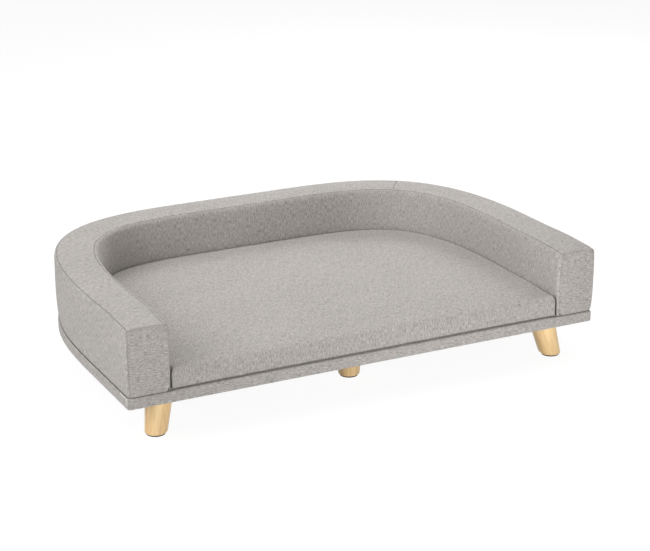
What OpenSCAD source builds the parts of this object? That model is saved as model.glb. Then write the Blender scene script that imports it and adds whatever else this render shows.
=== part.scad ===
/* [Overall] */
// Width of the base, side to side
bed_w = 1000; // [800:10:1250]
// Depth of the base, front to back
bed_d = 655; // [540:5:800]
// Height of the base's underside above the floor
leg_h = 74; // [60:1:140]

/* [Plan outline] */
// Reach of each rear corner curve along the back, as a share of half the width
corner_w_share = 0.82; // [0.6:0.01:0.9]
// Reach of each rear corner curve along the side, as a share of the depth
corner_d_share = 0.745; // [0.5:0.005:0.8]
// Squareness of the rear corners: 2 is an ellipse, more is squarer
corner_square = 3.1; // [2.4:0.1:4]
// Radius of the base's two front corners in plan
base_corner_r = 6; // [4:0.5:30]

/* [Fabric and foam] */
// Thickness of the lined woven cover
cover_t = 1.5; // [1:0.1:2.5]
// Slack between two layers that are glued or stapled together
layer_gap = 0.25; // [0.1:0.05:0.4]
// Gap between two panels along a sewn seam
seam_gap = 0.3; // [0.2:0.05:0.6]
// Depth to which a seam draws the cover in
seam_depth = 0.9; // [0.2:0.1:0.9]

/* [Base] */
// Thickness of the plywood base board
board_t = 15; // [12:0.5:24]
// Thickness of the foam pad on top of the board
base_pad_t = 6.25; // [3:0.25:15]
// Thickness of the foam strip round the board's edge
edge_foam_t = 4; // [2:0.5:8]
// Radius of the cover over the base's top edge
base_top_r = 4.5; // [3:0.5:9]
// Radius of the cover under the base's bottom edge
base_bottom_r = 4; // [2:0.5:6]
// Width of the cover's hem, turned under the board
base_hem_w = 32; // [20:1:60]
// Thickness of the black dust cloth under the base
lining_t = 0.8; // [0.4:0.1:1.2]
// Distance of the dust cloth's edge from the base's edge
lining_inset = 20; // [14:1:28]

/* [Bolster] */
// Height of the bolster above the base, at the crown of its top
bolster_h = 132; // [90:1:220]
// Thickness of the bolster from its outer to its inner face
bolster_t = 78; // [62:1:110]
// Distance by which the base stands out past the bolster
bolster_lip = 2; // [1:0.5:12]
// Radius of the bolster's two top edges
bolster_edge_r = 7; // [5:0.5:12]
// Distance by which the bolster's outer face leans out at its top
bolster_flare = 2; // [0:0.5:6]
// Rise of the bolster's padded top between its two seams
top_crown = 2; // [0.5:0.5:6]
// Swell of the bolster's padded faces between seam and base
face_swell = 0.8; // [0:0.1:2]
// Radius of the arm's front edges
arm_roll_r = 4; // [4:0.5:7]
// Thickness of the foam on the bolster's two faces and arm fronts
face_foam_t = 6; // [4:0.5:12]
// Thickness of the foam on the bolster's top
top_foam_t = 12; // [6:1:30]

/* [Bolster frame] */
// Thickness of the plywood top and bottom rails
rail_t = 12; // [9:0.5:18]
// Thickness of the bent hardboard skins
skin_t = 3; // [2:0.5:5]
// Length of each upright block along the bolster
upright_l = 22; // [16:1:30]
// Thickness of the board that closes each arm's front
end_board_t = 12; // [9:0.5:18]
// Gap between two wooden pieces that are glued
wood_fit = 0.1; // [0.05:0.05:0.3]

/* [Cushion] */
// Height of the cushion at its shoulder
cushion_h = 42; // [30:1:80]
// Rise of the cushion's crown above its shoulder
cushion_crown = 3; // [1:0.5:12]
// Gap between the cushion and the bolster's inner face
cushion_gap = 2; // [1.5:0.5:8]
// Distance of the cushion's front from the base's front edge
cushion_setback = 2; // [2:0.5:30]
// Radius of the cushion's top edge
cushion_top_r = 14; // [8:1:15]
// Radius of the cushion's bottom edge
cushion_bottom_r = 4; // [4:1:8]
// Radius of the cushion's two front corners in plan
cushion_corner_r = 10; // [6:1:60]
// Depth by which the front is drawn in between its corners
cushion_draw = 2; // [0:0.5:8]
// Height of the cushion's underside above the base
cushion_lift = 0.3; // [0.3:0.1:1]
// Width of the cover's turned-under edge below the cushion
cushion_hem_w = 12; // [10:1:15]

/* [Zip] */
// Length of the zip in the cushion's underside, as a share of the base's width
zip_l_share = 0.62; // [0.3:0.01:0.65]
// Distance of the zip from the base's front edge, as a share of the base's depth
zip_back_share = 0.733; // [0.3:0.001:0.733]
// Width of the slit in the underside for the zip
zip_slit_w = 12; // [11:0.5:16]
// Width of each fabric tape
zip_tape_w = 13; // [8:0.5:16]
// Thickness of each fabric tape
zip_tape_t = 0.6; // [0.3:0.1:0.8]
// Width of one row of teeth
zip_row_w = 2.3; // [1.5:0.1:3]
// Height of the teeth
zip_row_t = 2; // [1.4:0.1:2.2]

/* [Legs] */
// Radius of a leg at the foot
foot_r = 21; // [16:0.5:26]
// Radius of a leg at the top
leg_top_r = 26; // [20:0.5:32]
// Lean of a corner leg to the side and to the front or back, in degrees
leg_lean = 11.3; // [0:0.1:14]
// Width of the bevel round the foot
foot_bevel = 2.5; // [1:0.5:4]
// Distance of a front foot's centre from the base's side
front_foot_side = 68; // [60:1:120]
// Distance of a front foot's centre from the base's front
front_foot_front = 43; // [43:1:90]
// Distance of a rear foot's centre from the base's side
rear_foot_side = 152; // [140:1:220]
// Distance of a rear foot's centre from the base's back
rear_foot_back = 120; // [110:1:180]
// Distance of the middle leg behind the base's front edge
middle_leg_back = 131; // [80:1:260]
// Distance of the middle leg to the right of the centre line
middle_leg_shift = 15; // [-60:1:60]
// Thickness of the felt glide under each foot
glide_t = 2.5; // [1.5:0.5:6]
// Width of the foot left bare round the glide
glide_inset = 3; // [2.5:0.5:6]

/* [Leg fittings] */
// Side of the square steel leg plate
plate_w = 62; // [56:1:70]
// Thickness of the leg plate
plate_t = 2.5; // [2:0.5:4]
// Corner radius of the leg plate
plate_corner_r = 8; // [4:1:12]
// Distance of a plate screw from the plate's edge
plate_screw_edge = 7; // [6.5:0.5:9]
// Outer radius of the threaded boss on the plate
boss_r = 6; // [5.5:0.5:8]
// Height of the threaded boss above the plate
boss_h = 11; // [6:1:13]
// Radius of the hanger bolt in the leg
leg_bolt_r = 4; // [3:0.5:5]
// Depth of the hanger bolt in the leg
leg_bolt_depth = 26; // [15:1:40]

/* [Hidden] */

// Colours of the materials
fabric_colour = [0.70, 0.685, 0.665];
seam_fabric_colour = [0.66, 0.645, 0.625];
foam_colour = [0.93, 0.89, 0.78];
plywood_colour = [0.80, 0.66, 0.46];
hardboard_colour = [0.55, 0.40, 0.27];
leg_wood_colour = [0.91, 0.76, 0.54];
steel_colour = [0.72, 0.73, 0.75];
felt_colour = [0.22, 0.20, 0.19];
lining_colour = [0.10, 0.10, 0.11];
zip_colour = [0.60, 0.59, 0.57];

// Overrun of every cut past the face it goes through
overrun = 2;
// Facets of round bores, pins and heads
round_fn = 48;
// Steps of each rear corner curve, of a front corner and of a front edge
corner_steps = 16;
front_corner_steps = 3;
front_edge_steps = 6;
// Clearance of a bolt, a screw and a threaded bore
bolt_clearance = 0.4;
screw_clearance = 0.1;
thread_clearance = 0.05;

// Heights of the layers, from the floor up
half_w = bed_w / 2;
front_y = -bed_d / 2;
back_y = bed_d / 2;
base_z = leg_h;
board_z = base_z + cover_t + layer_gap;
base_pad_z = board_z + board_t + layer_gap;
base_top_z = base_pad_z + base_pad_t + layer_gap + cover_t;
base_t = base_top_z - base_z;
lining_z = base_z - layer_gap - lining_t;
plate_z = lining_z - layer_gap - plate_t;
leg_top_z = plate_z - wood_fit;
bolster_z = base_top_z + layer_gap;
cushion_z = base_top_z + cushion_lift;

// Depths of the layers in the padding, from the cover's face in
foam_face = cover_t + layer_gap;
cavity_face = foam_face + face_foam_t;
skin_face = cavity_face + layer_gap;
frame_face = skin_face + skin_t + wood_fit;
shoulder_h = bolster_h - top_crown;
roll_h = shoulder_h - bolster_edge_r;
cavity_h = shoulder_h - cover_t - layer_gap - top_foam_t;
skin_h = cavity_h - layer_gap;
arm_front_y = front_y + bolster_lip;
panel_crown = 1;
arm_seam_y = arm_front_y + panel_crown + arm_roll_r + seam_gap;
end_pad_y = arm_front_y + panel_crown + cover_t + layer_gap;
end_board_y = end_pad_y + face_foam_t + layer_gap;
rail_front_y = end_board_y + end_board_t + wood_fit;
board_face = foam_face + edge_foam_t + layer_gap;
base_pad_trim = 1.5;
// Least radius of a front corner on a line deep inside a D
least_corner_r = 2;

// Superellipse corner of the plan: a point and its outward normal at angle t,
// from the side (0) to the back (90)
corner_x = half_w * corner_w_share;
corner_y = bed_d * corner_d_share;
function corner_point(t) = [
    half_w - corner_x + corner_x * pow(cos(t), 2 / corner_square),
    back_y - corner_y + corner_y * pow(sin(t), 2 / corner_square)];
function corner_slope(t) = [
    pow(cos(t), 2 - 2 / corner_square) / corner_x,
    pow(sin(t), 2 - 2 / corner_square) / corner_y];
function unit(v) = v / norm(v);
function mix(a, b, share) = a + (b - a) * share;
function flip_x(list) = [for (i = [len(list) - 1 : -1 : 0]) [-list[i][0], list[i][1]]];
function corner_normals() = [for (i = [0 : corner_steps]) unit(corner_slope(90 * i / corner_steps))];
function right_corner(inset) = [for (i = [0 : corner_steps])
    corner_point(90 * i / corner_steps) - inset * corner_normals()[i]];

// U-shaped line at an inset from the base's edge, from the right front round
// the back to the left front, with its two ends at start_y
function u_line(inset, start_y) =
    let (right = concat([[half_w - inset, start_y]], right_corner(inset)))
    concat(right, flip_x(right));
function reversed(list) = [for (i = [len(list) - 1 : -1 : 0]) list[i]];
// Band between two insets, and the part of it between two steps of the line
function u_band(outer, inner, start_y) =
    concat(u_line(outer, start_y), reversed(u_line(inner, start_y)));
function slice(list, from, to) = [for (i = [from : to]) list[i]];
function u_part(outer, inner, start_y, from, to) = concat(
    slice(u_line(outer, start_y), from, to),
    reversed(slice(u_line(inner, start_y), from, to)));

// Closed D-shaped line: an edge at an inset, with round front corners, moved
// in by a depth. The front is drawn in between its corners.
draw_power = 4;
function front_draw(x, reach, draw) = draw * (1 - pow(x / reach, draw_power));
function d_line(inset, edge_y, edge_r, depth, draw = 0) =
    let (
        corner_r = max(edge_r, depth + least_corner_r),
        cx = half_w - inset - corner_r,
        arc = [for (i = [0 : front_corner_steps])
            let (a = -90 + 90 * i / front_corner_steps)
            [cx + (corner_r - depth) * cos(a), edge_y + corner_r + (corner_r - depth) * sin(a)]],
        right = concat(arc, right_corner(inset + depth)))
    concat(right, flip_x(right), [for (i = [1 : front_edge_steps - 1])
        let (x = cx * (2 * i / front_edge_steps - 1))
        [x, edge_y + depth + front_draw(x, cx, draw)]]);

// Closed solids from grids of points. Every quad is cut into two triangles.
function flat(lists) = [for (list = lists) for (item = list) item];
function quad(a, b, c, d) = [[a, b, c], [a, c, d]];

// Sheet between an outer and an inner grid of the same size
module sheet_solid(outer, inner) {
    rows = len(outer);
    cols = len(outer[0]);
    in0 = rows * cols;
    function at(i, j) = i * cols + j;
    faces = concat(
        flat([for (i = [0 : rows - 2]) for (j = [0 : cols - 2])
            quad(at(i, j), at(i, j + 1), at(i + 1, j + 1), at(i + 1, j))]),
        flat([for (i = [0 : rows - 2]) for (j = [0 : cols - 2])
            quad(in0 + at(i, j), in0 + at(i + 1, j), in0 + at(i + 1, j + 1), in0 + at(i, j + 1))]),
        flat([for (i = [0 : rows - 2])
            quad(at(i, 0), at(i + 1, 0), in0 + at(i + 1, 0), in0 + at(i, 0))]),
        flat([for (i = [0 : rows - 2]) let (j = cols - 1)
            quad(at(i + 1, j), at(i, j), in0 + at(i, j), in0 + at(i + 1, j))]),
        flat([for (j = [0 : cols - 2])
            quad(at(0, j + 1), at(0, j), in0 + at(0, j), in0 + at(0, j + 1))]),
        flat([for (j = [0 : cols - 2]) let (i = rows - 1)
            quad(at(i, j), at(i, j + 1), in0 + at(i, j + 1), in0 + at(i, j))]));
    polyhedron(points = concat(flat(outer), flat(inner)), faces = faces);
}

function ring_sides(rings, from, flip) =
    let (n = len(rings[0]))
    flat([for (k = [0 : len(rings) - 2]) for (i = [0 : n - 1])
        let (
            j = (i + 1) % n,
            a = from + k * n + i,
            b = from + (k + 1) * n + i,
            c = from + (k + 1) * n + j,
            d = from + k * n + j)
        flip ? quad(a, d, c, b) : quad(a, b, c, d)]);
function ring_fan(n, from, centre, flip) = [for (i = [0 : n - 1])
    let (j = (i + 1) % n)
    flip ? [from + i, from + j, centre] : [from + j, from + i, centre]];

// Bowl-shaped shell: rings from its border to its crown, outside and inside,
// each closed by a fan to a middle point
module bowl_solid(outer, inner, outer_tip, inner_tip) {
    n = len(outer[0]);
    in0 = len(outer) * n;
    tip = in0 + len(inner) * n;
    polyhedron(
        points = concat(flat(outer), flat(inner), [outer_tip, inner_tip]),
        faces = concat(
            ring_sides(outer, 0, false),
            ring_sides(inner, in0, true),
            ring_fan(n, in0 - n, tip, false),
            ring_fan(n, tip - n, tip + 1, true),
            flat([for (i = [0 : n - 1]) let (j = (i + 1) % n) quad(i, j, in0 + j, in0 + i)])));
}

// Solid body of rings from its bottom to its top
module lofted_solid(rings, bottom_tip, top_tip) {
    n = len(rings[0]);
    last = (len(rings) - 1) * n;
    tip = last + n;
    polyhedron(
        points = concat(flat(rings), [bottom_tip, top_tip]),
        faces = concat(
            ring_sides(rings, 0, false),
            ring_fan(n, 0, tip, true),
            ring_fan(n, last, tip + 1, false)));
}

module slab(points, z, t) {
    translate([0, 0, z]) linear_extrude(t) polygon(points);
}

module pin_at(place, r, z, h) {
    translate([place[0], place[1], z]) cylinder(h = h, r = r, $fn = round_fn);
}

// Feet: centre on the floor, and the direction of the lean
front_foot = [half_w - front_foot_side, front_y + front_foot_front];
rear_foot = [half_w - rear_foot_side, back_y - rear_foot_back];
middle_foot = [middle_leg_shift, front_y + middle_leg_back];
feet = [
    [[-front_foot[0], front_foot[1]], [-1, -1]],
    [front_foot, [1, -1]],
    [[-rear_foot[0], rear_foot[1]], [-1, 1]],
    [rear_foot, [1, 1]],
    [middle_foot, [0, 0]]];
function leg_head(foot) = foot[0] - foot[1] * leg_top_z * tan(leg_lean);
plate_screw_reach = plate_w / 2 - plate_screw_edge;
function plate_screw_places(foot) = [for (x = [-1, 1]) for (y = [-1, 1])
    leg_head(foot) + [x, y] * plate_screw_reach];
screw_r = 2;
screw_l = 12;
screw_head_r = 3.8;
screw_head_t = 2.2;

// Bolts that hold the bolster: at a share of the arm's straight run, then at
// steps of the corner curve
bolt_r = 3;
bolt_head_r = 6;
bolt_head_t = 4;
washer_r = 9;
washer_t = 1.2;
tee_flange_r = 9.5;
tee_flange_t = 1.5;
tee_barrel_r = 4.3;
tee_barrel_l = 9;
arm_bolt_share = 0.706;
bolt_steps = [4, 9, 14];
bolster_mid = bolster_lip + bolster_t / 2;
function bolt_half() =
    let (line = right_corner(bolster_mid))
    concat([[half_w - bolster_mid, mix(rail_front_y, back_y - corner_y, arm_bolt_share)]],
        [for (i = bolt_steps) line[i - 1]]);
bolt_places = concat(bolt_half(), flip_x(bolt_half()));

// Steps of the line where the rails are lapped, between the side and the back
lap_from = 7;
lap_to = 8;
half_lap_t = (rail_t - wood_fit) / 2;
line_last = 2 * corner_steps + 3;
// Uprights: the step of the line that each stands after, on the right half
upright_steps = [0, 1, 2, 6, 11, 15];

module base_slab(inset, z, t) {
    slab(d_line(0, front_y, base_corner_r, inset), z, t);
}

module bolt_holes(z, h, r) {
    for (place = bolt_places) pin_at(place, r, z, h);
}

// Holes through a sheet for the bosses and screws of the leg plates
module leg_fitting_holes(z, h) {
    for (foot = feet) {
        pin_at(leg_head(foot), boss_r + bolt_clearance, z, h);
        for (place = plate_screw_places(foot)) pin_at(place, screw_r + screw_clearance, z, h);
    }
}

module base_board() {
    color(plywood_colour) difference() {
        base_slab(board_face, board_z, board_t);
        bolt_holes(board_z - overrun, board_t + 2 * overrun, bolt_r + bolt_clearance);
        for (foot = feet) {
            pin_at(leg_head(foot), boss_r + bolt_clearance, board_z - overrun,
                plate_z + plate_t + boss_h + layer_gap - board_z + overrun);
            for (place = plate_screw_places(foot))
                pin_at(place, screw_r + screw_clearance, board_z - overrun,
                    plate_z + screw_l + layer_gap - board_z + overrun);
        }
    }
}

module base_pad() {
    color(foam_colour) difference() {
        base_slab(board_face + base_pad_trim, base_pad_z, base_pad_t);
        bolt_holes(base_pad_z - overrun, base_pad_t + 2 * overrun, bolt_r + bolt_clearance);
    }
}

module base_edge_foam() {
    color(foam_colour) difference() {
        base_slab(foam_face, base_z + base_bottom_r, board_z + board_t - base_z - base_bottom_r);
        base_slab(board_face - layer_gap, base_z, base_t);
    }
}

// Rings of the base cover: depth in from the edge, and height above the underside
function base_cover_profile(d) =
    let (rb = base_bottom_r - d, rt = base_top_r - d)
    concat(
        [[base_hem_w, d]],
        [for (a = [0, 45, 90]) [base_bottom_r - rb * sin(a), base_bottom_r - rb * cos(a)]],
        [for (a = [0, 30, 60, 90])
            [base_top_r - rt * cos(a), base_t - base_top_r + rt * sin(a)]]);
function raised(points, z) = [for (p = points) [p[0], p[1], z]];
function base_ring(p) = raised(d_line(0, front_y, base_corner_r, p[0]), base_z + p[1]);

module base_cover() {
    color(fabric_colour) difference() {
        bowl_solid(
            [for (p = base_cover_profile(0)) base_ring(p)],
            [for (p = base_cover_profile(cover_t)) base_ring(p)],
            [0, 0, base_top_z], [0, 0, base_top_z - cover_t]);
        bolt_holes(base_pad_z, base_pad_t + 2 * cover_t + overrun, bolt_r + bolt_clearance);
        leg_fitting_holes(base_z - overrun, cover_t + 2 * overrun);
    }
}

module base_dust_cloth() {
    color(lining_colour) difference() {
        slab(d_line(0, front_y, lining_inset + base_corner_r, lining_inset), lining_z, lining_t);
        bolt_holes(lining_z - overrun, lining_t + 2 * overrun, bolt_r + bolt_clearance);
        leg_fitting_holes(lining_z - overrun, lining_t + 2 * overrun);
    }
}

// A turned leg, cut level at the floor and under its plate, with a bevelled foot
glide_pin_r = 1.4;
glide_pin_l = 14;
bevel_slope = 1.3;
module leg(foot) {
    lean = atan(norm(foot[1]) * tan(leg_lean));
    turn = norm(foot[1]) == 0 ? 0 : atan2(-foot[1][1], -foot[1][0]);
    axis_l = leg_top_z / cos(lean);
    taper = (leg_top_r - foot_r) / axis_l;
    spare = leg_top_r;
    color(leg_wood_colour) difference() {
        intersection() {
            translate([foot[0][0], foot[0][1], 0]) rotate([0, lean, turn])
                translate([0, 0, -spare])
                    cylinder(h = axis_l + 2 * spare, r1 = foot_r - taper * spare,
                        r2 = leg_top_r + taper * spare, $fn = round_fn);
            translate([foot[0][0], foot[0][1], glide_t])
                cylinder(h = leg_top_z - glide_t, r1 = foot_r - foot_bevel,
                    r2 = foot_r - foot_bevel + bevel_slope * (leg_top_z - glide_t), $fn = round_fn);
        }
        pin_at(foot[0], glide_pin_r + thread_clearance, glide_t - overrun, glide_pin_l + overrun);
        pin_at(leg_head(foot), leg_bolt_r + thread_clearance,
            leg_top_z - leg_bolt_depth - layer_gap, leg_bolt_depth + layer_gap + overrun);
    }
}

module foot_glides() {
    color(felt_colour) for (foot = feet) {
        pin_at(foot[0], foot_r - glide_inset, 0, glide_t - layer_gap);
        pin_at(foot[0], glide_pin_r, 0, glide_pin_l);
    }
}

module rounded_square(w, r) {
    for (turn = [0, 90]) rotate([0, 0, turn]) square([w, w - 2 * r], center = true);
    for (x = [-1, 1]) for (y = [-1, 1])
        translate([x, y] * (w / 2 - r)) circle(r = r, $fn = round_fn);
}

module leg_plate(foot) {
    head = leg_head(foot);
    color(steel_colour) difference() {
        union() {
            translate([head[0], head[1], plate_z]) linear_extrude(plate_t)
                rounded_square(plate_w, plate_corner_r);
            pin_at(head, boss_r, plate_z, plate_t + boss_h);
        }
        pin_at(head, leg_bolt_r + thread_clearance, plate_z - overrun, plate_t + boss_h + 2 * overrun);
        for (place = plate_screw_places(foot))
            pin_at(place, screw_r + bolt_clearance, plate_z - overrun, plate_t + 2 * overrun);
    }
}

module leg_plate_screws() {
    color(steel_colour) for (foot = feet) for (place = plate_screw_places(foot)) {
        pin_at(place, screw_head_r, plate_z - wood_fit - screw_head_t, screw_head_t);
        pin_at(place, screw_r, plate_z - wood_fit - screw_head_t, screw_l + screw_head_t);
    }
}

module leg_bolts() {
    color(steel_colour) for (foot = feet)
        pin_at(leg_head(foot), leg_bolt_r, leg_top_z - leg_bolt_depth,
            leg_bolt_depth + wood_fit + plate_t + boss_h);
}

// Rails: each side rail carries the lower half of a lap, the back rail the upper
module side_rail(z, right) {
    from = right ? 0 : line_last - lap_from;
    to = right ? lap_from : line_last;
    lap0 = right ? lap_from : line_last - lap_to;
    lap1 = right ? lap_to : line_last - lap_from;
    outer = bolster_lip + frame_face;
    inner = bolster_lip + bolster_t - frame_face;
    slab(u_part(outer, inner, rail_front_y, from, to), z, rail_t);
    slab(u_part(outer, inner, rail_front_y, lap0, lap1), z, half_lap_t);
}

module back_rail(z) {
    outer = bolster_lip + frame_face;
    inner = bolster_lip + bolster_t - frame_face;
    slab(u_part(outer, inner, rail_front_y, lap_to, line_last - lap_to), z, rail_t);
    slab(u_part(outer, inner, rail_front_y, lap_from, line_last - lap_from), z + rail_t - half_lap_t,
        half_lap_t);
}

module bottom_rail_piece(which) {
    color(plywood_colour) difference() {
        if (which == "back") back_rail(bolster_z);
        else side_rail(bolster_z, which == "right");
        bolt_holes(bolster_z - overrun, rail_t + 2 * overrun, tee_barrel_r + screw_clearance);
    }
}

top_rail_z = bolster_z + skin_h - rail_t;
module top_rail_piece(which) {
    color(plywood_colour)
        if (which == "back") back_rail(top_rail_z);
        else side_rail(top_rail_z, which == "right");
}

// Blocks between the rails, each fitting its own stretch of the line
function stretch(line, step, length) =
    let (
        a = line[step],
        b = line[step + 1],
        reach = length / 2 / norm(b - a))
    [mix(a, b, 0.5 - reach), mix(a, b, 0.5 + reach)];
function upright_outline(step) =
    let (
        outer = stretch(u_line(bolster_lip + frame_face, rail_front_y), step, upright_l),
        inner = stretch(u_line(bolster_lip + bolster_t - frame_face, rail_front_y), step, upright_l))
    [outer[0], outer[1], inner[1], inner[0]];
upright_z = bolster_z + rail_t + wood_fit;
upright_h = top_rail_z - wood_fit - upright_z;

module bolster_uprights() {
    color(plywood_colour) {
        for (step = upright_steps) {
            slab(upright_outline(step), upright_z, upright_h);
            slab(flip_x(upright_outline(step)), upright_z, upright_h);
        }
        slab(upright_outline(corner_steps + 1), upright_z, upright_h);
    }
}

// Boards, pads and panels of an arm's front; side is 1 on the right, -1 on the left
module arm_end_board(side) {
    w = bolster_t - 2 * skin_face;
    color(plywood_colour)
        translate([side * (half_w - bolster_mid) - w / 2, end_board_y, bolster_z])
            cube([w, end_board_t, skin_h]);
}

module arm_end_pads() {
    w = bolster_t - 2 * skin_face;
    color(foam_colour) for (side = [-1, 1])
        translate([side * (half_w - bolster_mid) - w / 2, end_pad_y, bolster_z + arm_roll_r / 2])
            cube([w, face_foam_t, skin_h - arm_roll_r / 2]);
}

module skin_board(face) {
    color(hardboard_colour)
        slab(u_band(bolster_lip + face, bolster_lip + face + skin_t, rail_front_y), bolster_z, skin_h);
}

// Profiles of the bolster's padding: depth in from its outer face, height above
// its underside, at a layer d under the cover's face. The bands roll over the top
// edges and meet the top strip in seams near the top of the rolls.
band_shares = [0, 0.12, 0.5, 0.9];
seam_turn = 66;
seam_spread = 6;
half_seam_turn = atan(seam_gap / 2 / bolster_edge_r);
function swell(share) = face_swell * sin(180 * share);
function roll_point(d, turn) = [
    bolster_edge_r - (bolster_edge_r - d) * cos(turn), roll_h + (bolster_edge_r - d) * sin(turn)];
function band_profile(d, dip) = concat(
    [for (s = band_shares) [d - swell(s), s * roll_h]],
    [for (a = [0, 30, seam_turn - seam_spread]) roll_point(d, a)],
    [roll_point(d + dip, seam_turn - half_seam_turn)]);
function across(profile) = [for (i = [len(profile) - 1 : -1 : 0])
    [bolster_t - profile[i][0], profile[i][1]]];
top_ring_share = 0.45;
top_rise_share = 0.7;
function top_profile(d, dip) =
    let (
        rise = shoulder_h - d,
        half = [
            roll_point(d + dip, seam_turn + half_seam_turn),
            roll_point(d, seam_turn + seam_spread),
            roll_point(d, 90),
            [mix(bolster_edge_r, bolster_t / 2, top_ring_share), rise + top_crown * top_rise_share]])
    concat(half, [[bolster_t / 2, rise + top_crown]], across(half));
// A profile with its outer face leant out
function flared(profile) = [for (p = profile)
    [p[0] - bolster_flare * p[1] / bolster_h * (1 - p[0] / bolster_t), p[1]]];

// Grid of a profile moved along the bolster's outer line, square to it
function swept(profile, start_y, from = 0, to = line_last) =
    let (
        line = u_line(bolster_lip, start_y),
        right = concat([[1, 0]], corner_normals()),
        normals = concat(right, flip_x(right)))
    [for (i = [from : to]) [for (p = profile)
        let (q = line[i] - normals[i] * p[0]) [q[0], q[1], bolster_z + p[1]]]];

module bolster_outer_band() {
    color(fabric_colour) sheet_solid(
        swept(flared(band_profile(0, seam_depth)), arm_seam_y),
        swept(flared(band_profile(cover_t, 0)), arm_seam_y));
}
module bolster_inner_band() {
    color(fabric_colour) sheet_solid(
        swept(flared(across(band_profile(0, seam_depth))), arm_seam_y),
        swept(flared(across(band_profile(cover_t, 0))), arm_seam_y));
}

// The top strip is sewn from two lengths, with a join across the right rear corner
join_step = 11;
function opened(grid, at_end) =
    let (
        last = len(grid) - 1,
        a = at_end ? grid[last] : grid[0],
        b = at_end ? grid[last - 1] : grid[1],
        cut = [for (j = [0 : len(a) - 1]) a[j] + unit(b[j] - a[j]) * seam_gap / 2])
    at_end ? concat(slice(grid, 0, last - 1), [cut]) : concat([cut], slice(grid, 1, last));
module bolster_top_strip() {
    color(seam_fabric_colour) sheet_solid(
        opened(swept(flared(top_profile(0, seam_depth)), arm_seam_y, join_step), false),
        opened(swept(flared(top_profile(cover_t, 0)), arm_seam_y, join_step), false));
}
module bolster_top_strip_right() {
    color(seam_fabric_colour) sheet_solid(
        opened(swept(flared(top_profile(0, seam_depth)), arm_seam_y, 0, join_step), true),
        opened(swept(flared(top_profile(cover_t, 0)), arm_seam_y, 0, join_step), true));
}

function edge_roll(d) = [for (a = [0, 30, 60, 90]) roll_point(d, a)];
// Foam over the two skins and the top rail, down to the base
function foam_outside() =
    let (
        d = foam_face,
        half = concat([[d, 0]], edge_roll(d)))
    flared(concat(half, [[bolster_t / 2, shoulder_h - d + top_crown]], across(half)));
cavity_shares = [0, 1 / 3, 2 / 3];
function foam_cavity() =
    let (half = concat([[cavity_face, 0], [cavity_face, cavity_h / 2]],
        [for (s = cavity_shares) [mix(cavity_face, bolster_t / 2, s), cavity_h]]))
    concat(half, [[bolster_t / 2, cavity_h]], across(half));
module bolster_foam() {
    color(foam_colour)
        sheet_solid(swept(foam_outside(), arm_seam_y), swept(foam_cavity(), arm_seam_y));
}

// Front panel of an arm: rings from its seam in to its middle
function end_outline() =
    let (half = concat([[0, 0], [0, roll_h / 2]], edge_roll(0)))
    flared(concat(half, [[bolster_t / 2, bolster_h]], across(half)));
end_middle_share = 0.3;
end_middle_h = shoulder_h * end_middle_share;
panel_ring_share = 0.5;
panel_fall_share = 1 / 3;
function end_ring(depth, y) =
    let (
        across_share = 1 - depth / (bolster_t / 2),
        up_share = 1 - depth / (shoulder_h - end_middle_h))
    [for (p = end_outline()) [
        (p[0] - bolster_t / 2) * across_share, y, bolster_z + mix(end_middle_h, p[1], up_share)]];
module arm_end_panel(side) {
    r = arm_roll_r;
    middle_depth = bolster_t / 2 * panel_ring_share;
    middle_y = arm_front_y + panel_crown * panel_fall_share;
    function ring_depth(a, d) = r - (r - d) * cos(a);
    function ring_y(a, d) = arm_front_y + panel_crown + r - (r - d) * sin(a);
    outer = concat(
        [for (a = [0, 30, 60, 90]) end_ring(ring_depth(a, 0), ring_y(a, 0))],
        [end_ring(middle_depth, middle_y)]);
    inner = concat(
        [for (a = [0, 45, 90]) end_ring(ring_depth(a, cover_t), ring_y(a, cover_t))],
        [end_ring(middle_depth, middle_y + cover_t)]);
    mid_z = bolster_z + end_middle_h;
    module panel() {
        bowl_solid(outer, inner, [0, arm_front_y, mid_z], [0, arm_front_y + cover_t, mid_z]);
    }
    color(fabric_colour) translate([side * (half_w - bolster_mid), 0, 0])
        if (side > 0) mirror([1, 0, 0]) panel();
        else panel();
}

washer_z = lining_z - wood_fit - washer_t;
module bolster_washers() {
    color(steel_colour) difference() {
        bolt_holes(washer_z, washer_t, washer_r);
        bolt_holes(washer_z - overrun, washer_t + 2 * overrun, bolt_r + bolt_clearance);
    }
}
tee_top_z = bolster_z + rail_t + wood_fit + tee_flange_t;
module bolster_bolts() {
    color(steel_colour) {
        bolt_holes(washer_z - wood_fit - bolt_head_t, bolt_head_t, bolt_head_r);
        bolt_holes(washer_z - wood_fit - bolt_head_t, tee_top_z - washer_z + wood_fit + bolt_head_t, bolt_r);
    }
}
module bolster_tee_nuts() {
    color(steel_colour) difference() {
        union() {
            bolt_holes(tee_top_z - tee_flange_t, tee_flange_t, tee_flange_r);
            bolt_holes(tee_top_z - tee_flange_t - tee_barrel_l, tee_flange_t + tee_barrel_l, tee_barrel_r);
        }
        bolt_holes(bolster_z - overrun, rail_t + 2 * tee_flange_t + 2 * overrun, bolt_r + thread_clearance);
    }
}

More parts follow.
